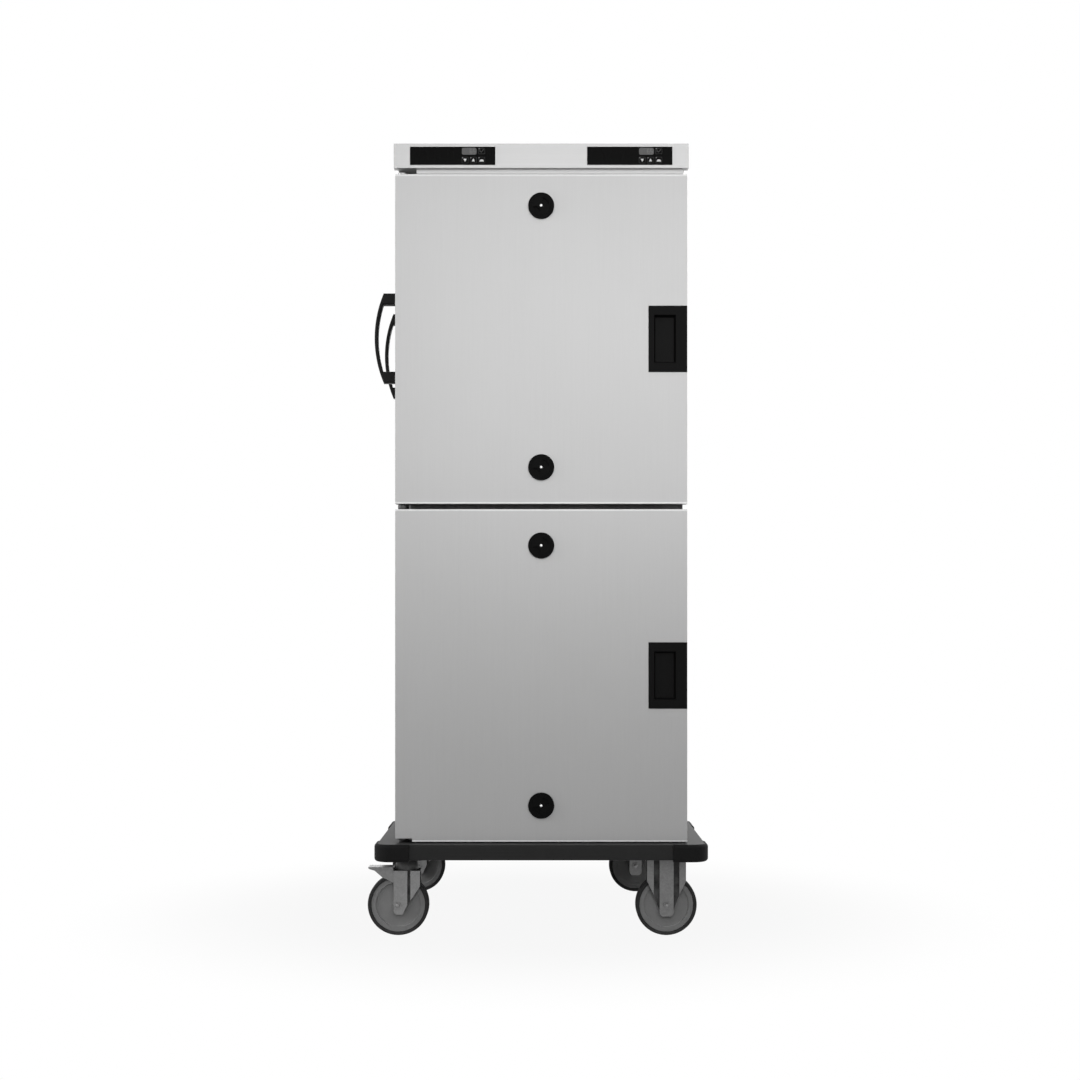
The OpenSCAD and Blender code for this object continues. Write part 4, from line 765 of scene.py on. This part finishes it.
# Faces of the rivets' heads are smaller than this, in square metres
SMOOTH_AREA = 1e-6
mesh = bmesh.new()
slab(mesh, rounded_loop(PLATE_X, PLATE_Z, PLATE_W, PLATE_H, PLATE_R), BACK_Y + PLATE_T, PLATE_T)
outer, inner = (rounded_loop(PLATE_X, PLATE_Z, PLATE_W - less, PLATE_H - less, r)
                for less, r in BORDER_LINES)
ring(mesh, outer, inner, BACK_Y + PLATE_T + BORDER_RISE, BORDER_T)
for x in PLATE_RIVETS_X:
    turned(mesh, PLATE_RIVET_PROFILE, (PLATE_X + x, BACK_Y + PLATE_T, PLATE_Z), (0, 1, 0), 16)
for face in mesh.faces:
    face.smooth = len(face.verts) < 5 and face.calc_area() < SMOOTH_AREA
add_piece("rating_plate", mesh, "plate_aluminium", "trolley")

# Rubber seal on the cabinet between the doors, with a rib a third of the way up the gap. Its dark
# rubber is partly painted shade, standing in for the shade deep in the gap
SEAL_X = (-306, 361)
SEAL_SECTION = [(-373.2, 1037.5), (-375.6, 1037.5), (-375.6, 1045.2), (-377.2, 1045.8),
                (-377.2, 1047.2), (-375.6, 1047.8), (-375.6, 1059.5), (-373.2, 1059.5)]
mesh = bmesh.new()
ends = [[mesh.verts.new(mm(x, y, z)) for y, z in SEAL_SECTION] for x in SEAL_X]
mesh.faces.new(ends[0])
mesh.faces.new(ends[1][::-1])
skin(mesh, ends)
add_piece("mid_seal_and_gap_shade", mesh, "seal_and_gap_shade_rubber", "trolley")

screws("back_screws", [(CABINET_X + x, BACK_Y, z) for x in BACK_SCREWS_X for z in BACK_SCREWS_Z],
       (0, 1, 0))


# ---------------------------------------------------------------- floor, light and camera


def area_lamp(name, place, aim, size, power, spread=180):
    """Soft box of a size in metres and a power in watts, whose light spreads by an angle."""
    data = bpy.data.lights.new(name, "AREA")
    data.spread = math.radians(spread)
    data.shape = "RECTANGLE"
    data.size, data.size_y = size
    data.energy = power
    lamp = bpy.data.objects.new(name, data)
    bpy.context.scene.collection.objects.link(lamp)
    lamp.location = place
    lamp.rotation_euler = (Vector(aim) - Vector(place)).to_track_quat("-Z", "Y").to_euler()


area_lamp("front_key", (0.4, -2.6, 2.8), (0.05, -0.43, 1.5), (3.4, 1.6), 13)
area_lamp("front_fill", (0.5, -4.2, 1.95), (0.1, -0.43, 1.6), (3.0, 1.7), 11, 72)
area_lamp("low_left", (-2.3, -2.6, 0.55), (-0.3, -0.4, 0.1), (1.0, 0.6), 3)
area_lamp("left_wash", (-3.0, -1.0, 1.6), (0, 0, 0.8), (1.6, 1.6), 34)
area_lamp("right_wash", (3.0, 0.6, 2.2), (0, 0, 0.9), (1.6, 1.6), 30)
area_lamp("back_wash", (0.3, 3.3, 2.1), (0, 0.4, 1.0), (2.6, 1.8), 52)

WORLD_LIGHT = 0.15
world = bpy.data.worlds.new("studio")
bpy.context.scene.world = world
world.use_nodes = True
sky = ShaderNodes(world.node_tree)
background = sky.tree.nodes["Background"]
sky.feed(background.inputs["Color"], (1, 1, 1, 1))
sky.feed(background.inputs["Strength"], sky.node("MapRange", {}, {
    "Value": sky.white_rays(), "To Min": WORLD_LIGHT, "To Max": 1.0}))

FLOOR_HALF = 9.0
FLOOR_LEVEL = 110
# The floor shines white for those rays, but for a share of shadow that ends at a distance
SHADOW_NEAR, SHADOW_FAR = 0.5, 1.3
NEAR_WHITE = 0.92
mesh = bmesh.new()
bmesh.ops.create_grid(mesh, x_segments=2, y_segments=2, size=FLOOR_HALF)
data = bpy.data.meshes.new("floor")
mesh.to_mesh(data)
mesh.free()
floor = bpy.data.objects.new("floor", data)
bpy.context.scene.collection.objects.link(floor)
f = Finish("floor", Roughness=0.9, Specular_IOR_Level=0.0)
f.set("Base Color", grey(FLOOR_LEVEL))
reach = f.node("VectorMath", {"operation": "LENGTH"}, {0: f.place}, 1)
far = f.ramp(reach, SHADOW_NEAR, SHADOW_FAR, NEAR_WHITE, 1.0, "SMOOTHSTEP")
white = f.node("Emission", {}, {"Color": (1, 1, 1, 1), "Strength": 1.0})
lit = Wire(f, f.shader.outputs[0])
mixed = f.node("MixShader", {}, {0: f.white_rays() * far, 1: lit, 2: white})
f.tree.links.new(mixed.socket, f.tree.nodes["Material Output"].inputs["Surface"])
floor.data.materials.append(f.material)

# The picture is square and this many pixels wide; the shifts are in pixels too
PICTURE = 1080
SHIFT_X, SHIFT_Y = -1.2, 90
CAMERA_PLACE = (0.014, -4.705, 0.7493)
SENSOR, LENS = 36, 58.75
camera = bpy.data.objects.new("camera", bpy.data.cameras.new("camera"))
bpy.context.scene.collection.objects.link(camera)
camera.location = CAMERA_PLACE
camera.rotation_euler = (math.radians(90), 0, 0)
camera.data.sensor_width = SENSOR
camera.data.lens = LENS
camera.data.shift_x = SHIFT_X / PICTURE
camera.data.shift_y = SHIFT_Y / PICTURE
bpy.context.scene.camera = camera
bpy.context.scene.view_settings.view_transform = "Standard"
